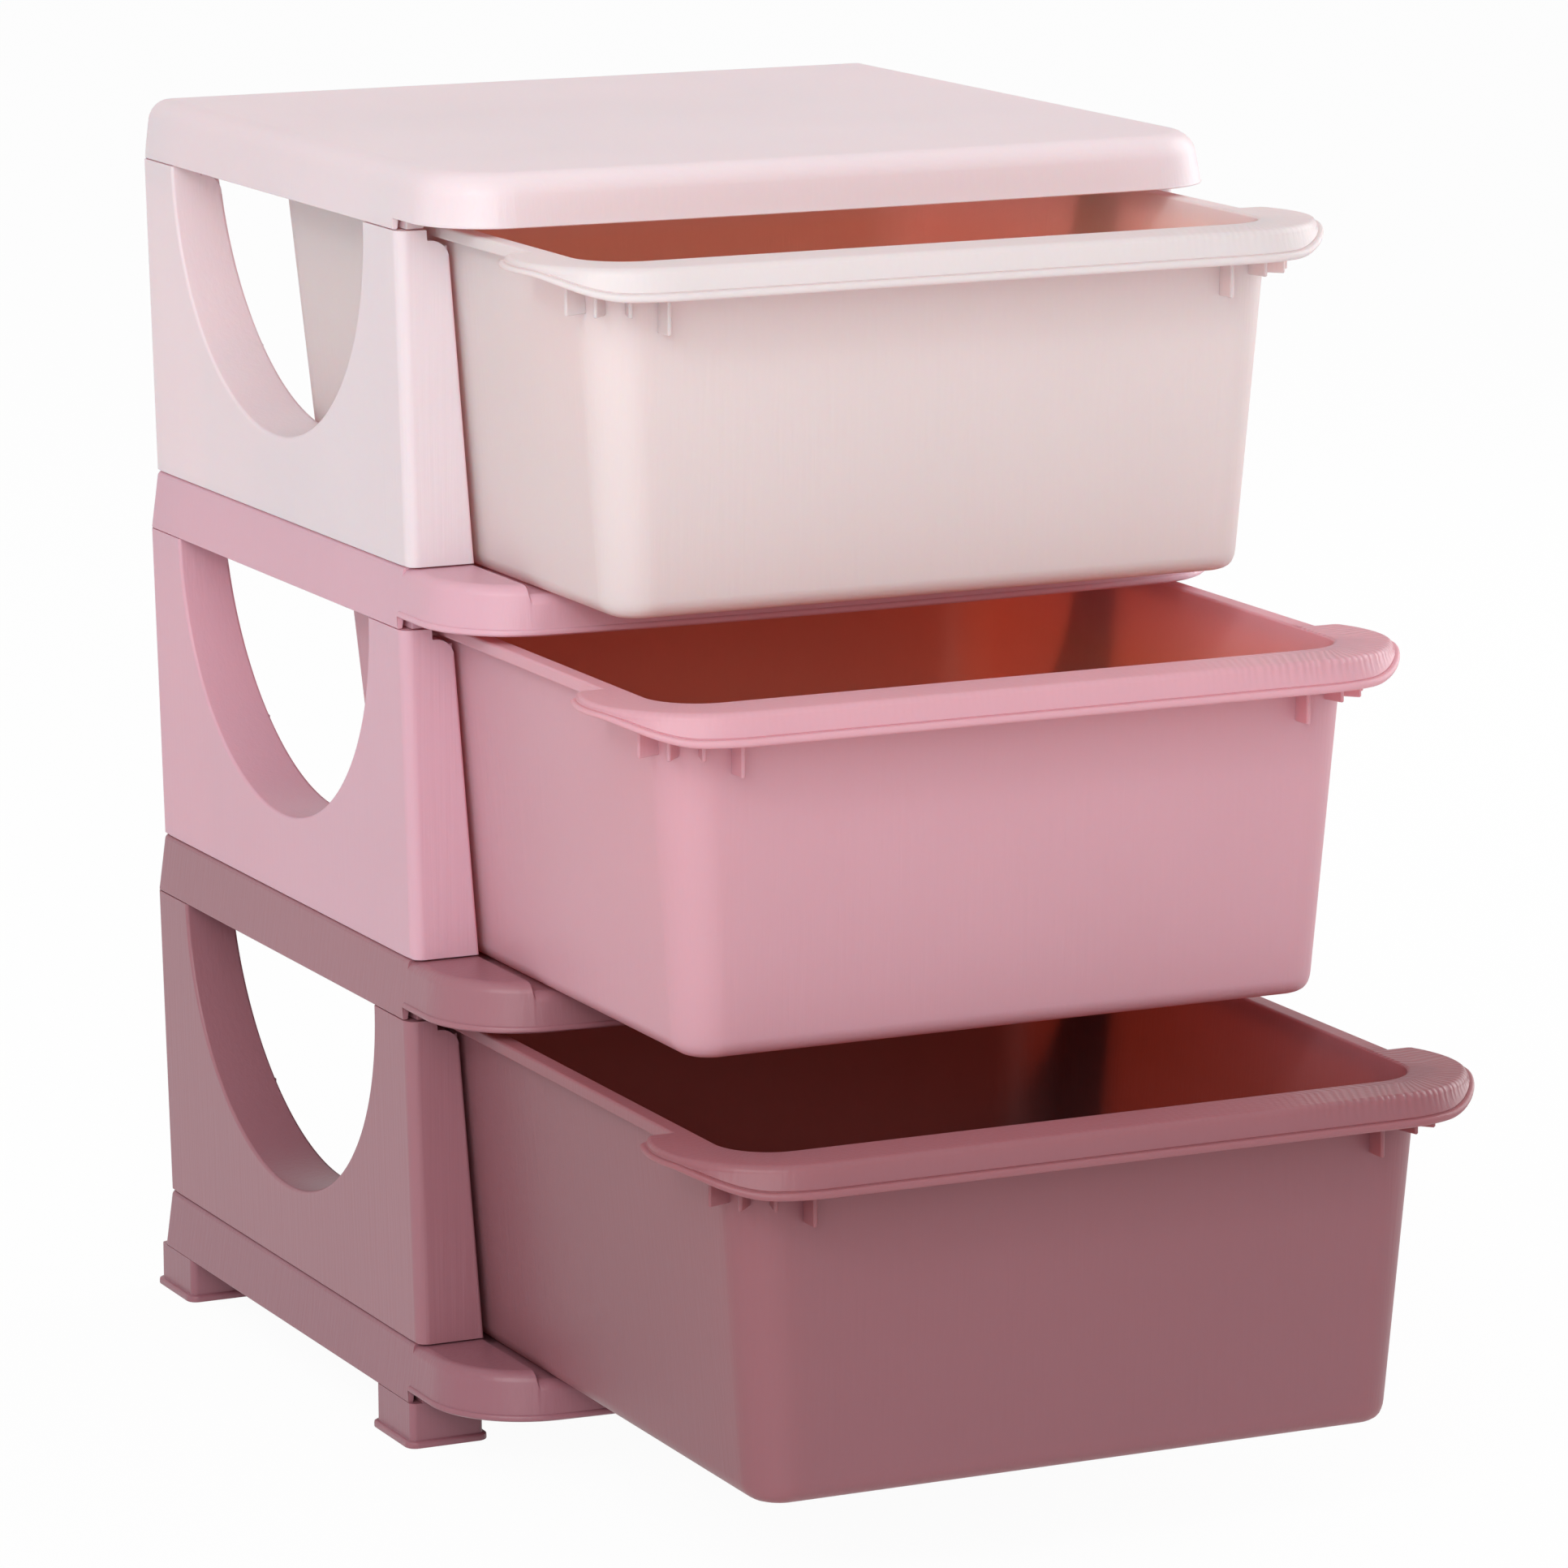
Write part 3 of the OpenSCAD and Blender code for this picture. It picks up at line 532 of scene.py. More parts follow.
def socket_bars(top):
    """Four socket blocks, one in each corner of a skirt: one block and its mirror images."""
    parts = []
    for across in (-1, 1):
        for along in (-1, 1):
            x, y = sorted(across * edge for edge in SOCKET_X), sorted(along * edge for edge in SOCKET_Y)
            parts.append(bar((x[0], y[0], SOCKET_LOW), (x[1], y[1], top)))
    return parts


def rib_bars(under, front):
    """Stiffening ribs under a deck: five across, and three along from y = front to the back wall."""
    low, high, half = under - RIB_H, under + RIB_IN, RIB_T / 2
    parts = [bar((-CROSS_RIB_HALF, y - half, low), (CROSS_RIB_HALF, y + half, high)) for y in CROSS_RIB_Y]
    return parts + [bar((x - half, front, low), (x + half, HALF_D - WALL, high)) for x in LONG_RIB_X]


COVER_RIB_FRONT, FRAME_RIB_FRONT = -HALF_D - 42, -HALF_D - 54
COVER_SOCKET_TOP, FRAME_SOCKET_TOP = COVER_H - WALL - 4, FRAME_H - 2


def cover_shell():
    """Top cover: the underside, a quarter circle into the inner wall and down it to the lower edge, a
    quarter circle round that, the outer wall up, and a quarter circle over the upper edge."""
    under, bend = COVER_H - WALL, COVER_EDGE - WALL

    def ring(inset, z):
        return skirt_ring(COVER_LIP, np.mean(z) / COVER_H, inset, z)

    rings = [ring(WALL + bend * fall, under - bend * grow) for grow, fall in quarter_round(6)]
    rings += [ring(WALL, LOWER_Z + LOW_EDGE), ring(WALL - LOW_EDGE, LOWER_Z)]
    rings += [ring(COVER_LOW_EDGE * fall, LOWER_Z + COVER_LOW_EDGE * grow)
              for grow, fall in quarter_round(4)]
    rings += [ring(0, z) for z in COVER_FACE]
    rings += [ring(COVER_EDGE * grow, COVER_H - COVER_EDGE * fall) for grow, fall in quarter_round(12)]
    inside = socket_bars(COVER_SOCKET_TOP) + rib_bars(under, COVER_RIB_FRONT)
    return joined([closed_skin(np.array(rings))] + inside)


def deck(ring, drop, start, extra, looks_down):
    """Faces that close a frame over a ring of its points, with a few more points along the line where the
    lip meets the body: the track's floor, the step beside it, the lip's shoulders, and the higher
    shoulders under the panels, drop below the frame's top. Points of the ring are numbered from start and
    the new ones from extra: on each half the step's points, and then the shoulder's inner corner."""
    lip_end, back_step = LIP_COLS - 1, RIGHT_COLS - len(ACROSS)
    seam_y = ring[lip_end, 1]
    step_z = ring[N_TRACK:N_TRACK + N_STEP, 2]
    points, faces, track = [], [], []
    for side, sign in enumerate((1, -1)):
        base = extra + side * (N_STEP + 1)
        points.append(np.column_stack([sign * STEP_AT, np.full(N_STEP, seam_y), step_z]))
        points.append([[sign * STEP_AT[-1], seam_y, FRAME_H - drop]])

        def col(j):
            return start + (j if side == 0 else (RING_COLS - j) % RING_COLS)

        step_faces = []
        for i in range(N_STEP - 1):
            front, back = N_TRACK + i, RIGHT_COLS - 1 - N_TRACK - i
            step_faces.append([col(front), col(front + 1), base + i + 1, base + i])
            step_faces.append([base + i, base + i + 1, col(back - 1), col(back)])
        low, high = base + N_STEP - 1, base + N_STEP
        step_faces.append([col(j) for j in range(LIP_COL, lip_end + 1)] + [low])
        step_faces.append([low, col(lip_end), col(lip_end + 1), high])
        step_faces.append([col(j) for j in range(lip_end + 1, back_step)] + [high])
        step_faces.append([col(back_step), low, high, col(back_step - 1)])
        faces += step_faces if side == 0 else [face[::-1] for face in step_faces]
        track.append([col(j) for j in range(N_TRACK + 1)] + [base]
                     + [col(j) for j in range(RIGHT_COLS - 1 - N_TRACK, RIGHT_COLS)])
    faces.append(track[0] + track[1][::-1][1:-1])
    if looks_down:
        faces = [face[::-1] for face in faces]
    return np.concatenate([np.array(p, float) for p in points]), faces


def frame_shell():
    """Frame: the inner wall down to the lower edge, a bead over that which stands out on the lip only, by
    the root of a sine, the outer wall up, and a quarter circle over the upper edge, larger on the lip.
    Inside and on top a deck closes it."""
    step = TRACK_Z + (SHOULDER_Z - TRACK_Z) * ease((ACROSS - STEP_AT[0]) / (2 * STEP_HALF))
    top = np.where(IS_LIP, SHOULDER_Z, FRAME_H)
    top[:len(ACROSS)] = step
    top[-len(ACROSS):] = step[::-1]
    edge = np.where(IS_LIP, LIP_EDGE, FRAME_EDGE)
    on_lip = all_round(IS_LIP)[:, None]

    def ring(inset, z, lip_inset=None):
        """The outline, leaning in with its height, and on the lip with the lip's height and inset."""
        lip_ring = skirt_ring(FRAME_LIP, z[LIP_COL] / FRAME_H, inset if lip_inset is None else lip_inset, z)
        return np.where(on_lip, lip_ring, skirt_ring(FRAME_LIP, z[LIP_COLS] / FRAME_H, inset, z))

    rings = [ring(WALL + DECK_FILLET, top - WALL), ring(WALL, top - WALL - DECK_FILLET),
             ring(WALL, LOWER_Z + LOW_EDGE), ring(WALL - INNER_LOW_EDGE, LOWER_Z)]
    rings += [ring(LOW_EDGE * (1 - np.sin(a)), LOWER_Z + LOW_EDGE * (1 - np.cos(a)))
              for a in np.linspace(0, 1, 3)]
    bead_low, face_low = LOWER_Z + LOW_EDGE, LOWER_Z + FACE_LIFT
    rings += [ring(0, bead_low + FRAME_BEAD_H * (1 - np.cos(a)), -FRAME_BEAD_OUT * np.sin(a) ** 0.5)
              for a in np.linspace(0.2, np.pi - 0.2, 7)]
    rings += [ring(0, face_low + share * (top - edge - face_low)) for share in (0, 0.33, 0.66, 1)]
    rings += [ring(FRAME_EDGE * grow, top - edge * fall, LIP_EDGE * grow)
              for grow, fall in quarter_round(8, 0.15)]
    rings = np.array(rings)
    rows, cols = rings.shape[:2]
    extra = rows * cols
    upper, upper_faces = deck(rings[-1], 0, (rows - 1) * cols, extra, False)
    lower, lower_faces = deck(rings[0], WALL, 0, extra + len(upper), True)
    points = np.concatenate([rings.reshape(-1, 3), upper, lower])
    shell = points, ring_faces(rows, cols) + upper_faces + lower_faces
    return joined([shell] + socket_bars(FRAME_SOCKET_TOP) + rib_bars(TRACK_Z - WALL, FRAME_RIB_FRONT))


# ---- side panels: z runs down from their top ----

# Height, the gap left in each seam, and how far out the inner face lies at the top and at the bottom
PANEL_H = 146.0
SEAM = 0.35
PANEL_IN, PANEL_IN_LOW = 164.2, 153.5
WINDOW_HALF, WINDOW_H = 116.0, 108.5
# Runner beside the window: how far out its face lies, how far down its top, and the round under it
NOTCH_X, NOTCH, NOTCH_R = 173.7, 4.7, 8.0
# Pocket behind the outer face, and the ribs in it, each with its place along y and the height of its top
POCKET_TOP = 7.5
POCKET_EDGE, NOTCH_EDGE = 0.4, 0.3
PANEL_RIB_X, PANEL_RIB_T = (156, 181), 2.0
PANEL_RIBS = ((-85.3, -80.0), (0.0, -WINDOW_H - 1.0), (85.3, -80.0))

# How far each stretch of the panel's outline moves in: its ends, its top, its bottom and the window
Moves = namedtuple("Moves", "end top low window")
POCKET = Moves(WALL, POCKET_TOP, WALL, WALL)
OUTER_ROUND = Moves(CORNER_R - 0.5, 0.9, 0.9, 1.6)
INNER_ROUND = Moves(0.8, 0.4, 0.4, 1.0)
TINY = 1e-6


def panel_loop():
    """The panel's outline seen from the side as a closed loop of (y, z): bottom, back end, top of the back
    leg, half an ellipse down round the window and up again, top of the front leg, front end. With each
    point comes the direction square to the ellipse and into the material, and 0 off the window."""
    legs = np.linspace(-PANEL_H, 0, 40)
    ends = np.linspace(PANEL_END, WINDOW_HALF, 8)
    t = np.linspace(0, np.pi, 73)[1:-1]
    y = np.linspace(-PANEL_END, PANEL_END, 30)
    bottom = np.column_stack([y, np.full_like(y, -PANEL_H)])
    back = np.column_stack([np.full_like(legs, PANEL_END), legs])[1:]
    back_top = np.column_stack([ends, np.zeros_like(ends)])[1:]
    window = np.column_stack([WINDOW_HALF * np.cos(t), -WINDOW_H * np.sin(t)])
    front_top = np.column_stack([-ends[::-1], np.zeros_like(ends)])
    front = np.column_stack([np.full_like(legs, -PANEL_END), legs[::-1]])[1:-1]
    normal = np.column_stack([np.cos(t) / WINDOW_HALF, -np.sin(t) / WINDOW_H])
    normal /= np.linalg.norm(normal, axis=1)[:, None]
    loop = np.concatenate([bottom, back, back_top, window, front_top, front])
    into = np.zeros_like(loop)
    first = len(bottom) + len(back) + len(back_top)
    into[first:first + len(window)] = normal
    return loop, into


def moved(loop, into, moves):
    """How (y, z) of each point of the loop moves: into the material by its own stretch's distance."""
    move = into * moves.window
    at_end = np.abs(np.abs(loop[:, 0]) - PANEL_END) < TINY
    at_top = loop[:, 1] > -TINY
    at_low = loop[:, 1] < TINY - PANEL_H
    at_mouth = at_top & (np.abs(np.abs(loop[:, 0]) - WINDOW_HALF) < TINY)
    move[at_end, 0] = -np.sign(loop[at_end, 0]) * moves.end
    move[at_mouth, 0] = np.sign(loop[at_mouth, 0]) * moves.window
    move[at_top, 1] = -moves.top
    move[at_low, 1] = moves.low
    return move


def panel_shell():
    """Right-hand panel as rings that run round the loop, from the pocket's floor out over the rim, across
    the panel's thickness and over the rounded outer edge to the outer face. Both faces lean, so a point's
    distance from the tower's middle follows from its height z: the share at of the way from the inner to
    the outer face, and off past that. Points above the height roof are brought down to it."""
    loop, into = panel_loop()
    still = np.zeros_like(loop)

    def ring(move, at, off=0.0, roof=0.0):
        y, z = (loop + move).T
        z = np.clip(z, SEAM - PANEL_H, roof - SEAM)
        outer = HALF_W + LEAN * z / PANEL_H
        inner = PANEL_IN + (PANEL_IN - PANEL_IN_LOW) * z / PANEL_H
        return np.column_stack([inner + (outer - inner) * at + off, y, z])

    pocket, inner_round, outer_round = (moved(loop, into, moves)
                                        for moves in (POCKET, INNER_ROUND, OUTER_ROUND))
    inner_depth, outer_depth = np.abs(inner_round).max(axis=1), np.abs(outer_round).max(axis=1)
    at_notch = (NOTCH_X - PANEL_IN) / (HALF_W - PANEL_IN)
    rings = [ring(pocket, 1, -WALL, -POCKET_TOP), ring(pocket, 0, POCKET_EDGE, -POCKET_TOP),
             ring(0.9 * pocket, 0, 0, NOTCH_EDGE - POCKET_TOP)]
    rings += [ring(inner_round * fall, 0, inner_depth * grow, -NOTCH - NOTCH_R)
              for grow, fall in quarter_round(4)]
    rings += [ring(still, 0, NOTCH_R * grow, -NOTCH - NOTCH_R * fall)
              for grow, fall in quarter_round(8)[1:]]
    rings += [ring(still, at_notch, -NOTCH_EDGE, -NOTCH), ring(still, at_notch, 0, NOTCH_EDGE - NOTCH),
              ring(still, at_notch, 0, -NOTCH_EDGE), ring(still, at_notch, NOTCH_EDGE, 0)]
    rings += [ring(outer_round * grow, 1, -outer_depth * fall) for grow, fall in quarter_round(9)]
    (x0, x1), half = PANEL_RIB_X, PANEL_RIB_T / 2
    ribs = [bar((x0, y - half, 1 - PANEL_H), (x1, y + half, top)) for y, top in PANEL_RIBS]
    return joined([closed_skin(np.array(rings))] + ribs)


# ---- feet ----

FOOT_H, FOOT_R = 20.0, 3.0
SOLE_OUT, SOLE_H, SOLE_R, SOLE_EDGE = 2.0, 3.2, 5.0, 1.2


def rounded_ring(x0, x1, y0, y1, r, z):
    """Rounded rectangle at height z: straight sides and four quarter circles of radius r."""
    angle = np.linspace(0, np.pi / 2, 7)
    corners = [(x1 - r, y0 + r, -np.pi / 2), (x1 - r, y1 - r, 0),
               (x0 + r, y1 - r, np.pi / 2), (x0 + r, y0 + r, np.pi)]
    ring = [np.column_stack([cx + r * np.cos(angle + turn), cy + r * np.sin(angle + turn)])
            for cx, cy, turn in corners]
    return np.column_stack([np.concatenate(ring), np.full(len(corners) * len(angle), z)])


def foot_shell(node):
    """Hollow foot in the plan of its CAD node: inner roof, inner walls, the sole, which spreads out past
    the walls and has rounded edges, and the upright walls. Each ring is a rounded rectangle, given by how
    far it lies in from the sole's outline, its height and the radius of its corners."""
    (x0, y0, _), (x1, y1, _) = box_mm(node)
    inner = SOLE_OUT + WALL

    def ring(inset, z, r):
        return rounded_ring(x0 + inset, x1 - inset, y0 + inset - MID_Y, y1 - inset - MID_Y, r, z)

    rings = [ring(inner + 1, FOOT_H - WALL, 1.0), ring(inner, FOOT_H - WALL - 1, 1.5),
             ring(inner, 0.4, 1.5), ring(inner - 0.4, 0, 1.8), ring(0.6, 0, 4.4), ring(0.15, 0.2, 4.9),
             ring(0, 0.6, SOLE_R), ring(0, SOLE_H - SOLE_EDGE, SOLE_R)]
    rings += [ring(SOLE_EDGE * (1 - np.cos(a)), SOLE_H - SOLE_EDGE * (1 - np.sin(a)), 4.6)
              for a in (0.6, 1.1, np.pi / 2)]
    rings += [ring(SOLE_OUT - 0.5, SOLE_H, 3.6), ring(SOLE_OUT - 0.15, SOLE_H + 0.15, 3.2),
              ring(SOLE_OUT, SOLE_H + 0.5, FOOT_R), ring(SOLE_OUT, FOOT_H - 0.02, FOOT_R)]
    return closed_skin(np.array(rings))


# ---- satin moulded plastics ----

# Gloss, clouding, where the painted shade inside a drawer is full, the draw marks, and the mould's tool
# marks and the painted shade along them
ROUGHNESS, IOR = 0.36, 1.46
CLOUD_SCALE, CLOUD_SHADE = 9.0, 0.97
PAINTED_SHADE_FULL_AT = 0.25
GRAIN_SCALE, GRAIN_DEPTH = (420, 420, 9), 0.00035
MARK_SCALE, MARK_WANDER, MARK_DEPTH = 88.0, 6.5, 0.0003
# Painted shade in the tool marks' grooves: its share, and how dark the colour goes there
MARK_PAINTED_SHADE, MARK_SHADE = 0.34, 0.66


def node(tree, kind, **values):
    """Adds a shader node and sets its properties and input values."""
    made = tree.nodes.new(kind)
    for key, value in values.items():
        if key in made.inputs.keys():
            made.inputs[key].default_value = value
        else:
            setattr(made, key, value)
    return made


def linear(colour, shade=1.0):
    """Display colour, 0 to 255, times a shade, as linear light."""
    c = np.array(colour) * shade / 255
    return tuple(np.where(c <= 0.04045, c / 12.92, ((c + 0.055) / 1.055) ** 2.4)) + (1.0,)


def mixed(tree, share, first, second):
    """Colour that goes from first, a socket or a colour, to the colour second with the socket share."""
    mix = node(tree, "ShaderNodeMix", data_type="RGBA")
    tree.links.new(share, mix.inputs[0])
    if isinstance(first, tuple):
        mix.inputs[6].default_value = first
    else:
        tree.links.new(first, mix.inputs[6])
    mix.inputs[7].default_value = second
    return mix.outputs[2]


def attribute(tree, name):
    """Value of a named mark of the mesh's points."""
    return node(tree, "ShaderNodeAttribute", attribute_name=name).outputs["Fac"]


def clouded_with_painted_shade(tree, place, colour, deep):
    """The plastic's colour, clouded by slow noise. Down inside a drawer it turns into a painted shade
    colour that stands in for the shade there and the orange light through the walls, in full at the share
    PAINTED_SHADE_FULL_AT of the box's height."""
    cloud = node(tree, "ShaderNodeTexNoise", Scale=CLOUD_SCALE, Detail=2.0)
    tree.links.new(place, cloud.inputs["Vector"])
    tone = mixed(tree, cloud.outputs["Fac"], linear(colour), linear(colour, CLOUD_SHADE))
    # Painted shade: the colour goes over to the painted shade colour with the drop inside the box
    painted_shade_share = node(tree, "ShaderNodeMapRange", **{"From Min": 0.0, "From Max": PAINTED_SHADE_FULL_AT})
    tree.links.new(attribute(tree, "inside"), painted_shade_share.inputs["Value"])
    return mixed(tree, painted_shade_share.outputs["Result"], tone, linear(deep))


def tool_lines(tree):
    """Height of the mould's tool marks: a wandering sine wave along the way round the drawer, times the
    depth that the points carry."""
    along = node(tree, "ShaderNodeCombineXYZ")
    tree.links.new(attribute(tree, "round"), along.inputs["X"])
    lines = node(tree, "ShaderNodeTexWave", Scale=MARK_SCALE, Distortion=MARK_WANDER, Detail=3.0)
    tree.links.new(along.outputs[0], lines.inputs["Vector"])
    cut = node(tree, "ShaderNodeMath", operation="MULTIPLY")
    tree.links.new(lines.outputs["Fac"], cut.inputs[0])
    tree.links.new(attribute(tree, "combed"), cut.inputs[1])
    return cut.outputs[0]


def grained(tree, place, cut):
    """Surface direction bent by fine upright draw marks, noise drawn out along z, and by the tool marks."""
    stretch = node(tree, "ShaderNodeMapping", Scale=GRAIN_SCALE)
    tree.links.new(place, stretch.inputs["Vector"])
    draw = node(tree, "ShaderNodeTexNoise", Scale=1.0, Detail=2.0, Roughness=0.6)
    tree.links.new(stretch.outputs["Vector"], draw.inputs["Vector"])
    upright = node(tree, "ShaderNodeBump", Strength=0.5, Distance=GRAIN_DEPTH)
    tree.links.new(draw.outputs["Fac"], upright.inputs["Height"])
    across = node(tree, "ShaderNodeBump", Strength=1.0, Distance=MARK_DEPTH, invert=True)
    tree.links.new(cut, across.inputs["Height"])
    tree.links.new(upright.outputs["Normal"], across.inputs["Normal"])
    return across.outputs["Normal"]


def plastic(name, colour, deep, glow, through):
    """Satin moulded plastic: its own colour; a painted shade colour inside a drawer, which stands in for
    the shade there and the orange light through the walls; painted shade along the tool marks; and the
    share through of the light that passes thin walls and comes out in the colour glow."""
    material = bpy.data.materials.new(name)
    material.use_nodes = True
    tree = material.node_tree
    tree.nodes.clear()
    place = node(tree, "ShaderNodeTexCoord").outputs["Object"]
    cut = tool_lines(tree)
    # Painted shade: the colour darkens along the tool marks
    painted_groove_shade = node(tree, "ShaderNodeMath", operation="MULTIPLY")
    tree.links.new(cut, painted_groove_shade.inputs[0])
    painted_groove_shade.inputs[1].default_value = MARK_PAINTED_SHADE
    tone = mixed(tree, painted_groove_shade.outputs[0], clouded_with_painted_shade(tree, place, colour, deep), linear(colour, MARK_SHADE))
    shader = node(tree, "ShaderNodeBsdfPrincipled", Roughness=ROUGHNESS, IOR=IOR,
                  **{"Subsurface Weight": 0.25, "Subsurface Radius": (1.0, 0.35, 0.25),
                     "Subsurface Scale": 0.003})
    tree.links.new(tone, shader.inputs["Base Color"])
    tree.links.new(grained(tree, place, cut), shader.inputs["Normal"])
    passed = node(tree, "ShaderNodeBsdfTranslucent", Color=linear(glow))
    wall = node(tree, "ShaderNodeMixShader")
    wall.inputs[0].default_value = through
    tree.links.new(shader.outputs[0], wall.inputs[1])
    tree.links.new(passed.outputs[0], wall.inputs[2])
    tree.links.new(wall.outputs[0], node(tree, "ShaderNodeOutputMaterial").inputs["Surface"])
    return material


# Each plastic: its colour, the painted shade colour inside a drawer, the colour of light through it, and
# the share that passes
PALE = plastic("pale_pink_plastic", (252, 241, 246), (255, 205, 182), (255, 190, 185), 0.22)
PINK = plastic("mid_pink_plastic", (234, 189, 204), (242, 165, 140), (250, 155, 145), 0.2)
MAUVE = plastic("mauve_plastic", (167, 114, 124), (160, 98, 94), (230, 90, 75), 0.1)
BASE = plastic("base_mauve_plastic", (158, 105, 116), (150, 100, 98), (220, 80, 60), 0.08)
# The drawers' walls are thinner: more light comes through, and the peach painted shade inside, which stands
# in for shade and light through the walls, is deeper
PALE_WALL = plastic("pale_pink_drawer_plastic", (241, 253, 255), (255, 218, 182), (255, 193, 188), 0.36)
PINK_WALL = plastic("mid_pink_drawer_plastic", (232, 192, 207), (223, 168, 148), (255, 162, 134), 0.34)
MAUVE_WALL = plastic("mauve_drawer_plastic", (158, 109, 118), (130, 90, 90), (255, 146, 118), 0.27)
TIER_LOOK = {"top": (PALE, PALE_WALL, "pale_pink_plastic"),
             "middle": (PINK, PINK_WALL, "mid_pink_plastic"),
             "bottom": (MAUVE, MAUVE_WALL, "mauve_plastic")}
# The pale drawer's tool marks are the faintest
MARKS = {"top": 0.3, "middle": 1.0, "bottom": 1.0}

# ---- the pieces ----

rings, depth = drawer_rings()
round_way, combed = tool_marks(rings)
drawer = joined([closed_skin(rings)] + gusset_bars())
on_gussets = np.zeros(len(drawer[0]) - len(depth))
for tier, (_, look, slot) in TIER_LOOK.items():
    # inside: drop below the rim, which the drawer materials turn into painted shade
    marks = {"inside": np.concatenate([depth, on_gussets]),
             "round": np.concatenate([round_way, on_gussets]),
             "combed": np.concatenate([combed, on_gussets]) * MARKS[tier]}
    place = (0, box_mm("drawer_" + tier)[0][1] + REACH - MID_Y, TIER_TOP[tier])
    add_piece("drawer_" + tier, drawer, place, look, f"{tier}_drawer", marks)

add_piece("top_cover", cover_shell(), (0, 0, TIER_TOP["top"]), PALE)

frame_skin = frame_shell()
for name, look, slot in (("shelf_frame_upper", PINK, "mid_pink_plastic"),
                         ("shelf_frame_lower", MAUVE, "mauve_plastic"),
                         ("base_frame", BASE, "base_mauve_plastic")):
    add_piece(name, frame_skin, (0, 0, box_mm(name)[0][2]), look)

right_panel = panel_shell()
for tier, (look, _, slot) in TIER_LOOK.items():
    for side, skin in (("right", right_panel), ("left", mirrored(*right_panel))):
        add_piece(f"side_panel_{tier}_{side}", skin, (0, 0, TIER_TOP[tier]), look)

for end in ("front", "back"):
    for side in ("left", "right"):
        name = f"foot_{end}_{side}"
        add_piece(name, foot_shell(name), (0, 0, 0), BASE)

# ---- studio ----

AMBIENT = 0.72
FLOOR_HALF, FLOOR_GREY, FLOOR_GLOW = 60.0, 0.86, 0.96
LIGHTS_AT = (0, 0, 0.28)


def seen_directly(tree):
    """1 for camera, glossy and transmission rays, 0 for the rays that carry light to the object."""
    path = node(tree, "ShaderNodeLightPath")
    seen = path.outputs["Is Camera Ray"]
    for ray in ("Is Glossy Ray", "Is Transmission Ray"):
        either = node(tree, "ShaderNodeMath", operation="MAXIMUM")
        tree.links.new(seen, either.inputs[0])
        tree.links.new(path.outputs[ray], either.inputs[1])
        seen = either.outputs[0]
    return seen


def studio_world():
    """Even light all round, AMBIENT strong on the object and white where it is seen."""
    world = bpy.data.worlds.new("studio")
    bpy.context.scene.world = world
    world.use_nodes = True
    tree = world.node_tree
    tree.nodes.clear()
    strength = node(tree, "ShaderNodeMapRange", **{"To Min": AMBIENT, "To Max": 1.0})
    tree.links.new(seen_directly(tree), strength.inputs["Value"])
    sky = node(tree, "ShaderNodeBackground")
    tree.links.new(strength.outputs["Result"], sky.inputs["Strength"])
    tree.links.new(sky.outputs[0], node(tree, "ShaderNodeOutputWorld").inputs["Surface"])


def studio_floor():
    """Wide flat floor of pale paper that keeps the object's shadow and is seen nearly white."""
    corners = [(x * FLOOR_HALF, y * FLOOR_HALF, 0) for x, y in ((-1, -1), (1, -1), (1, 1), (-1, 1))]
    mesh = bpy.data.meshes.new("floor")
    mesh.from_pydata(corners, [], [[0, 1, 2, 3]])
    look = bpy.data.materials.new("floor")
    look.use_nodes = True
    tree = look.node_tree
    tree.nodes.clear()
    share = node(tree, "ShaderNodeMath", operation="MULTIPLY")
    tree.links.new(seen_directly(tree), share.inputs[0])
    share.inputs[1].default_value = FLOOR_GLOW
    paper = node(tree, "ShaderNodeBsdfDiffuse", Color=(FLOOR_GREY, FLOOR_GREY, FLOOR_GREY, 1))
    white = node(tree, "ShaderNodeEmission", Color=(1, 1, 1, 1), Strength=1.0)
    both = node(tree, "ShaderNodeMixShader")
    tree.links.new(share.outputs[0], both.inputs[0])
    tree.links.new(paper.outputs[0], both.inputs[1])
    tree.links.new(white.outputs[0], both.inputs[2])
    tree.links.new(both.outputs[0], node(tree, "ShaderNodeOutputMaterial").inputs["Surface"])
    mesh.materials.append(look)
    floor = bpy.data.objects.new("floor", mesh)
    bpy.context.scene.collection.objects.link(floor)


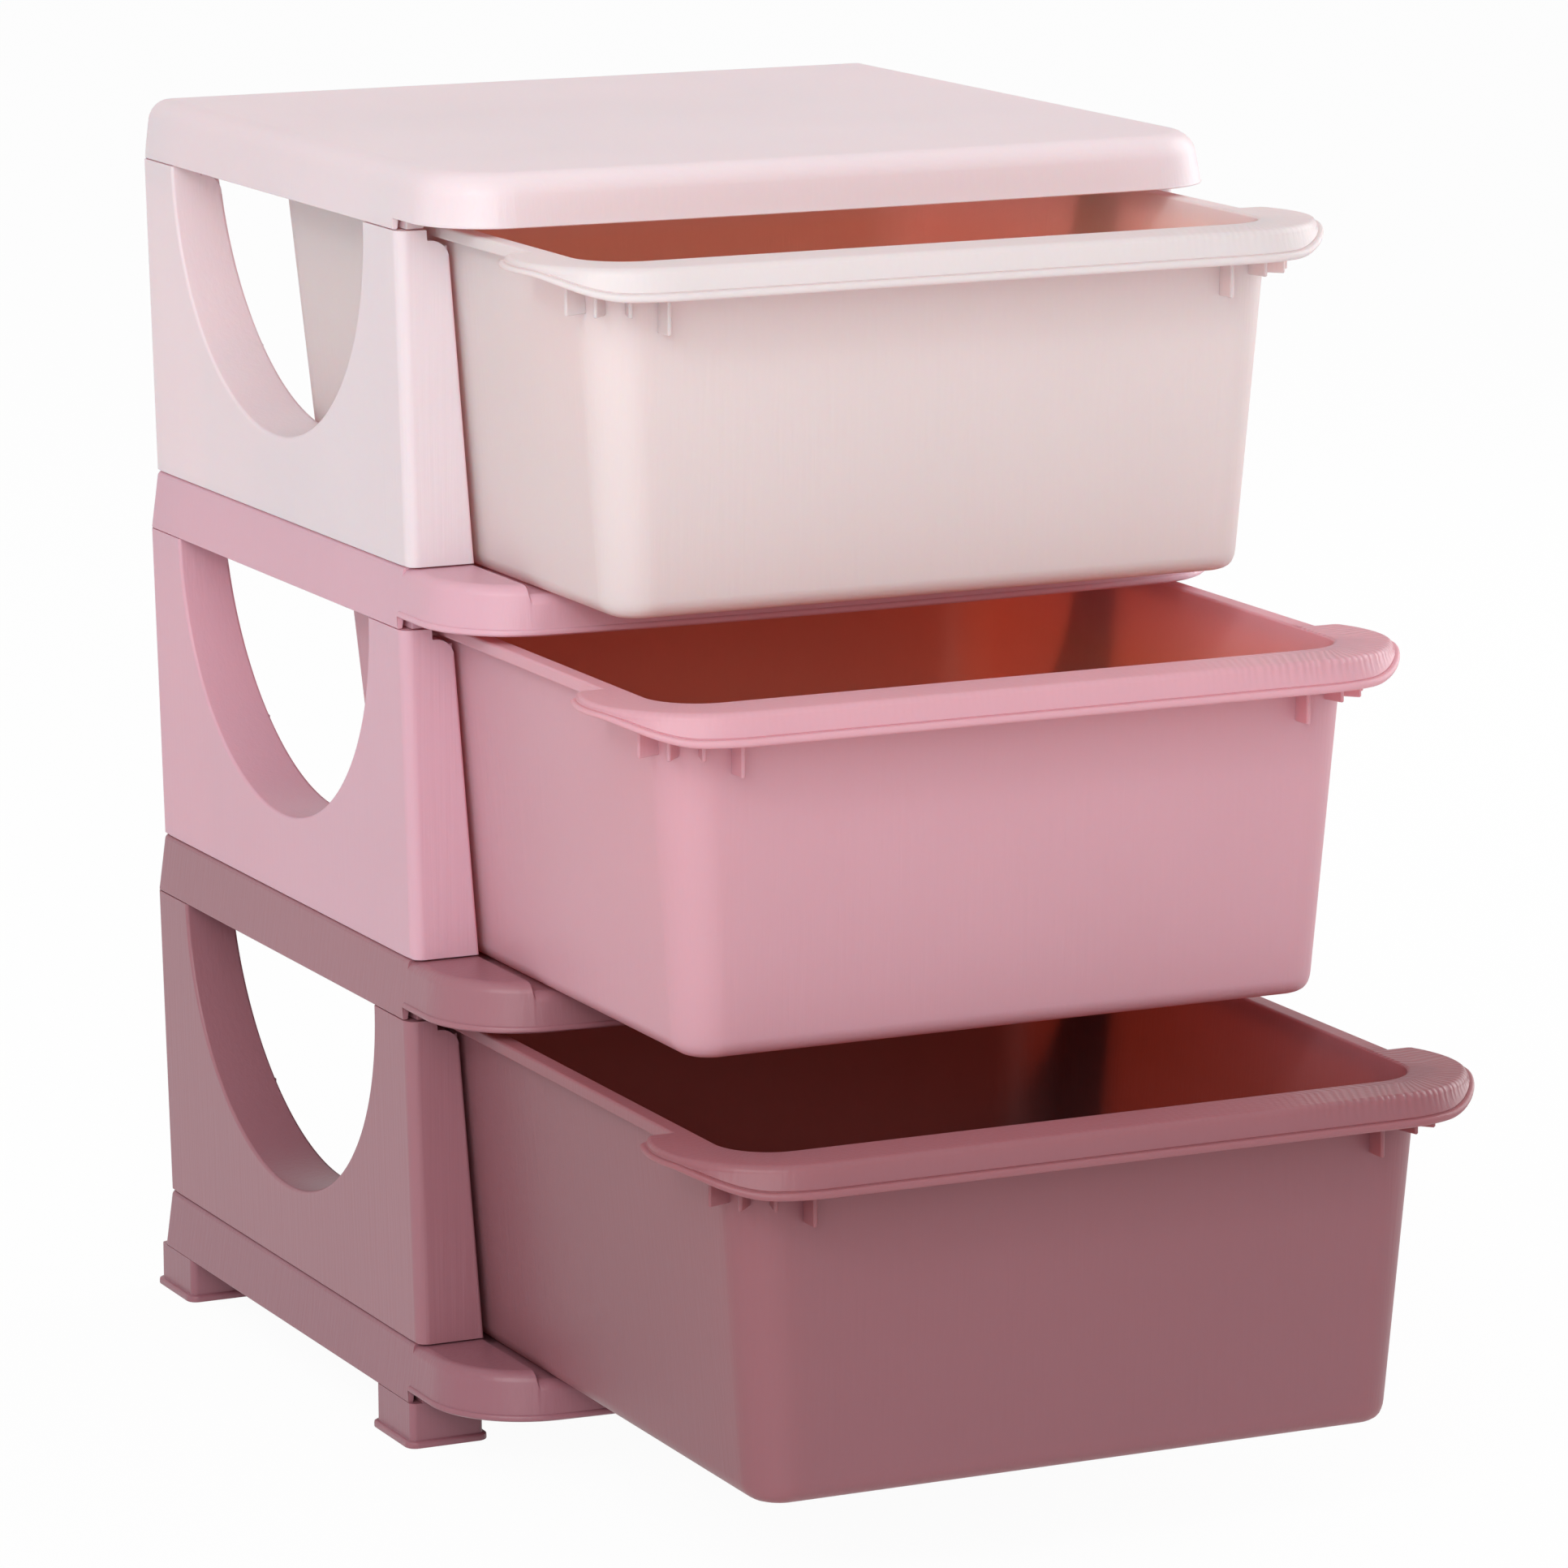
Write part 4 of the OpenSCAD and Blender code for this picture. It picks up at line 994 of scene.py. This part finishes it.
def area_light(name, place, size, power):
    """Square soft box of a size in metres and a power in watts that faces the middle of the tower."""
    light = bpy.data.lights.new(name, "AREA")
    light.size = size
    light.energy = power
    lamp = bpy.data.objects.new(name, light)
    facing = (Vector(LIGHTS_AT) - Vector(place)).to_track_quat("-Z", "Y").to_matrix().to_4x4()
    lamp.matrix_world = Matrix.Translation(place) @ facing
    bpy.context.scene.collection.objects.link(lamp)


studio_world()
studio_floor()
area_light("key", (-2.0, -2.6, 2.2), 2.4, 55)
area_light("fill", (-1.7, -3.0, 0.55), 1.8, 13)
area_light("spark", (-2.75, -1.95, 2.35), 0.4, 13)
area_light("right", (2.7, 0.5, 1.1), 2.2, 49)
area_light("top", (0.0, 0.2, 2.8), 2.4, 6)

# ---- camera ----

# Turn and tilt of the view, and roll about it; distance from a point in the tower's middle, how far the
# view is moved sideways and up from it, and the scale of both
YAW, PITCH, ROLL = radians(25.13), radians(11.29), radians(-0.22)
DISTANCE, AIM_Z, SHIFT_X, SHIFT_Y, SCALE = 3420.4, 280.0, 59.94, -26.61, 1.0029
FOCAL_LENGTH, SENSOR = 171.03, 36.0


def place_camera():
    """Camera that looks forward along YAW and PITCH, with its right and up axes turned by ROLL."""
    forward = np.array([np.sin(YAW) * np.cos(PITCH), np.cos(YAW) * np.cos(PITCH), -np.sin(PITCH)])
    level = np.cross(forward, (0, 0, 1))
    level /= np.linalg.norm(level)
    upright = np.cross(level, forward)
    right = level * np.cos(ROLL) + upright * np.sin(ROLL)
    up = upright * np.cos(ROLL) - level * np.sin(ROLL)
    place = (np.array([0, 0, AIM_Z]) - forward * DISTANCE + right * SHIFT_X + up * SHIFT_Y) * SCALE
    place[1] += MID_Y
    lens = bpy.data.cameras.new("camera")
    lens.sensor_width = SENSOR
    lens.lens = FOCAL_LENGTH
    lens.clip_end = 50
    camera = bpy.data.objects.new("camera", lens)
    axes = np.eye(4)
    axes[:3] = np.column_stack([right, up, -forward, place * MM])
    camera.matrix_world = Matrix(axes.tolist())
    bpy.context.scene.collection.objects.link(camera)
    bpy.context.scene.camera = camera


place_camera()
bpy.context.scene.view_settings.view_transform = "Standard"
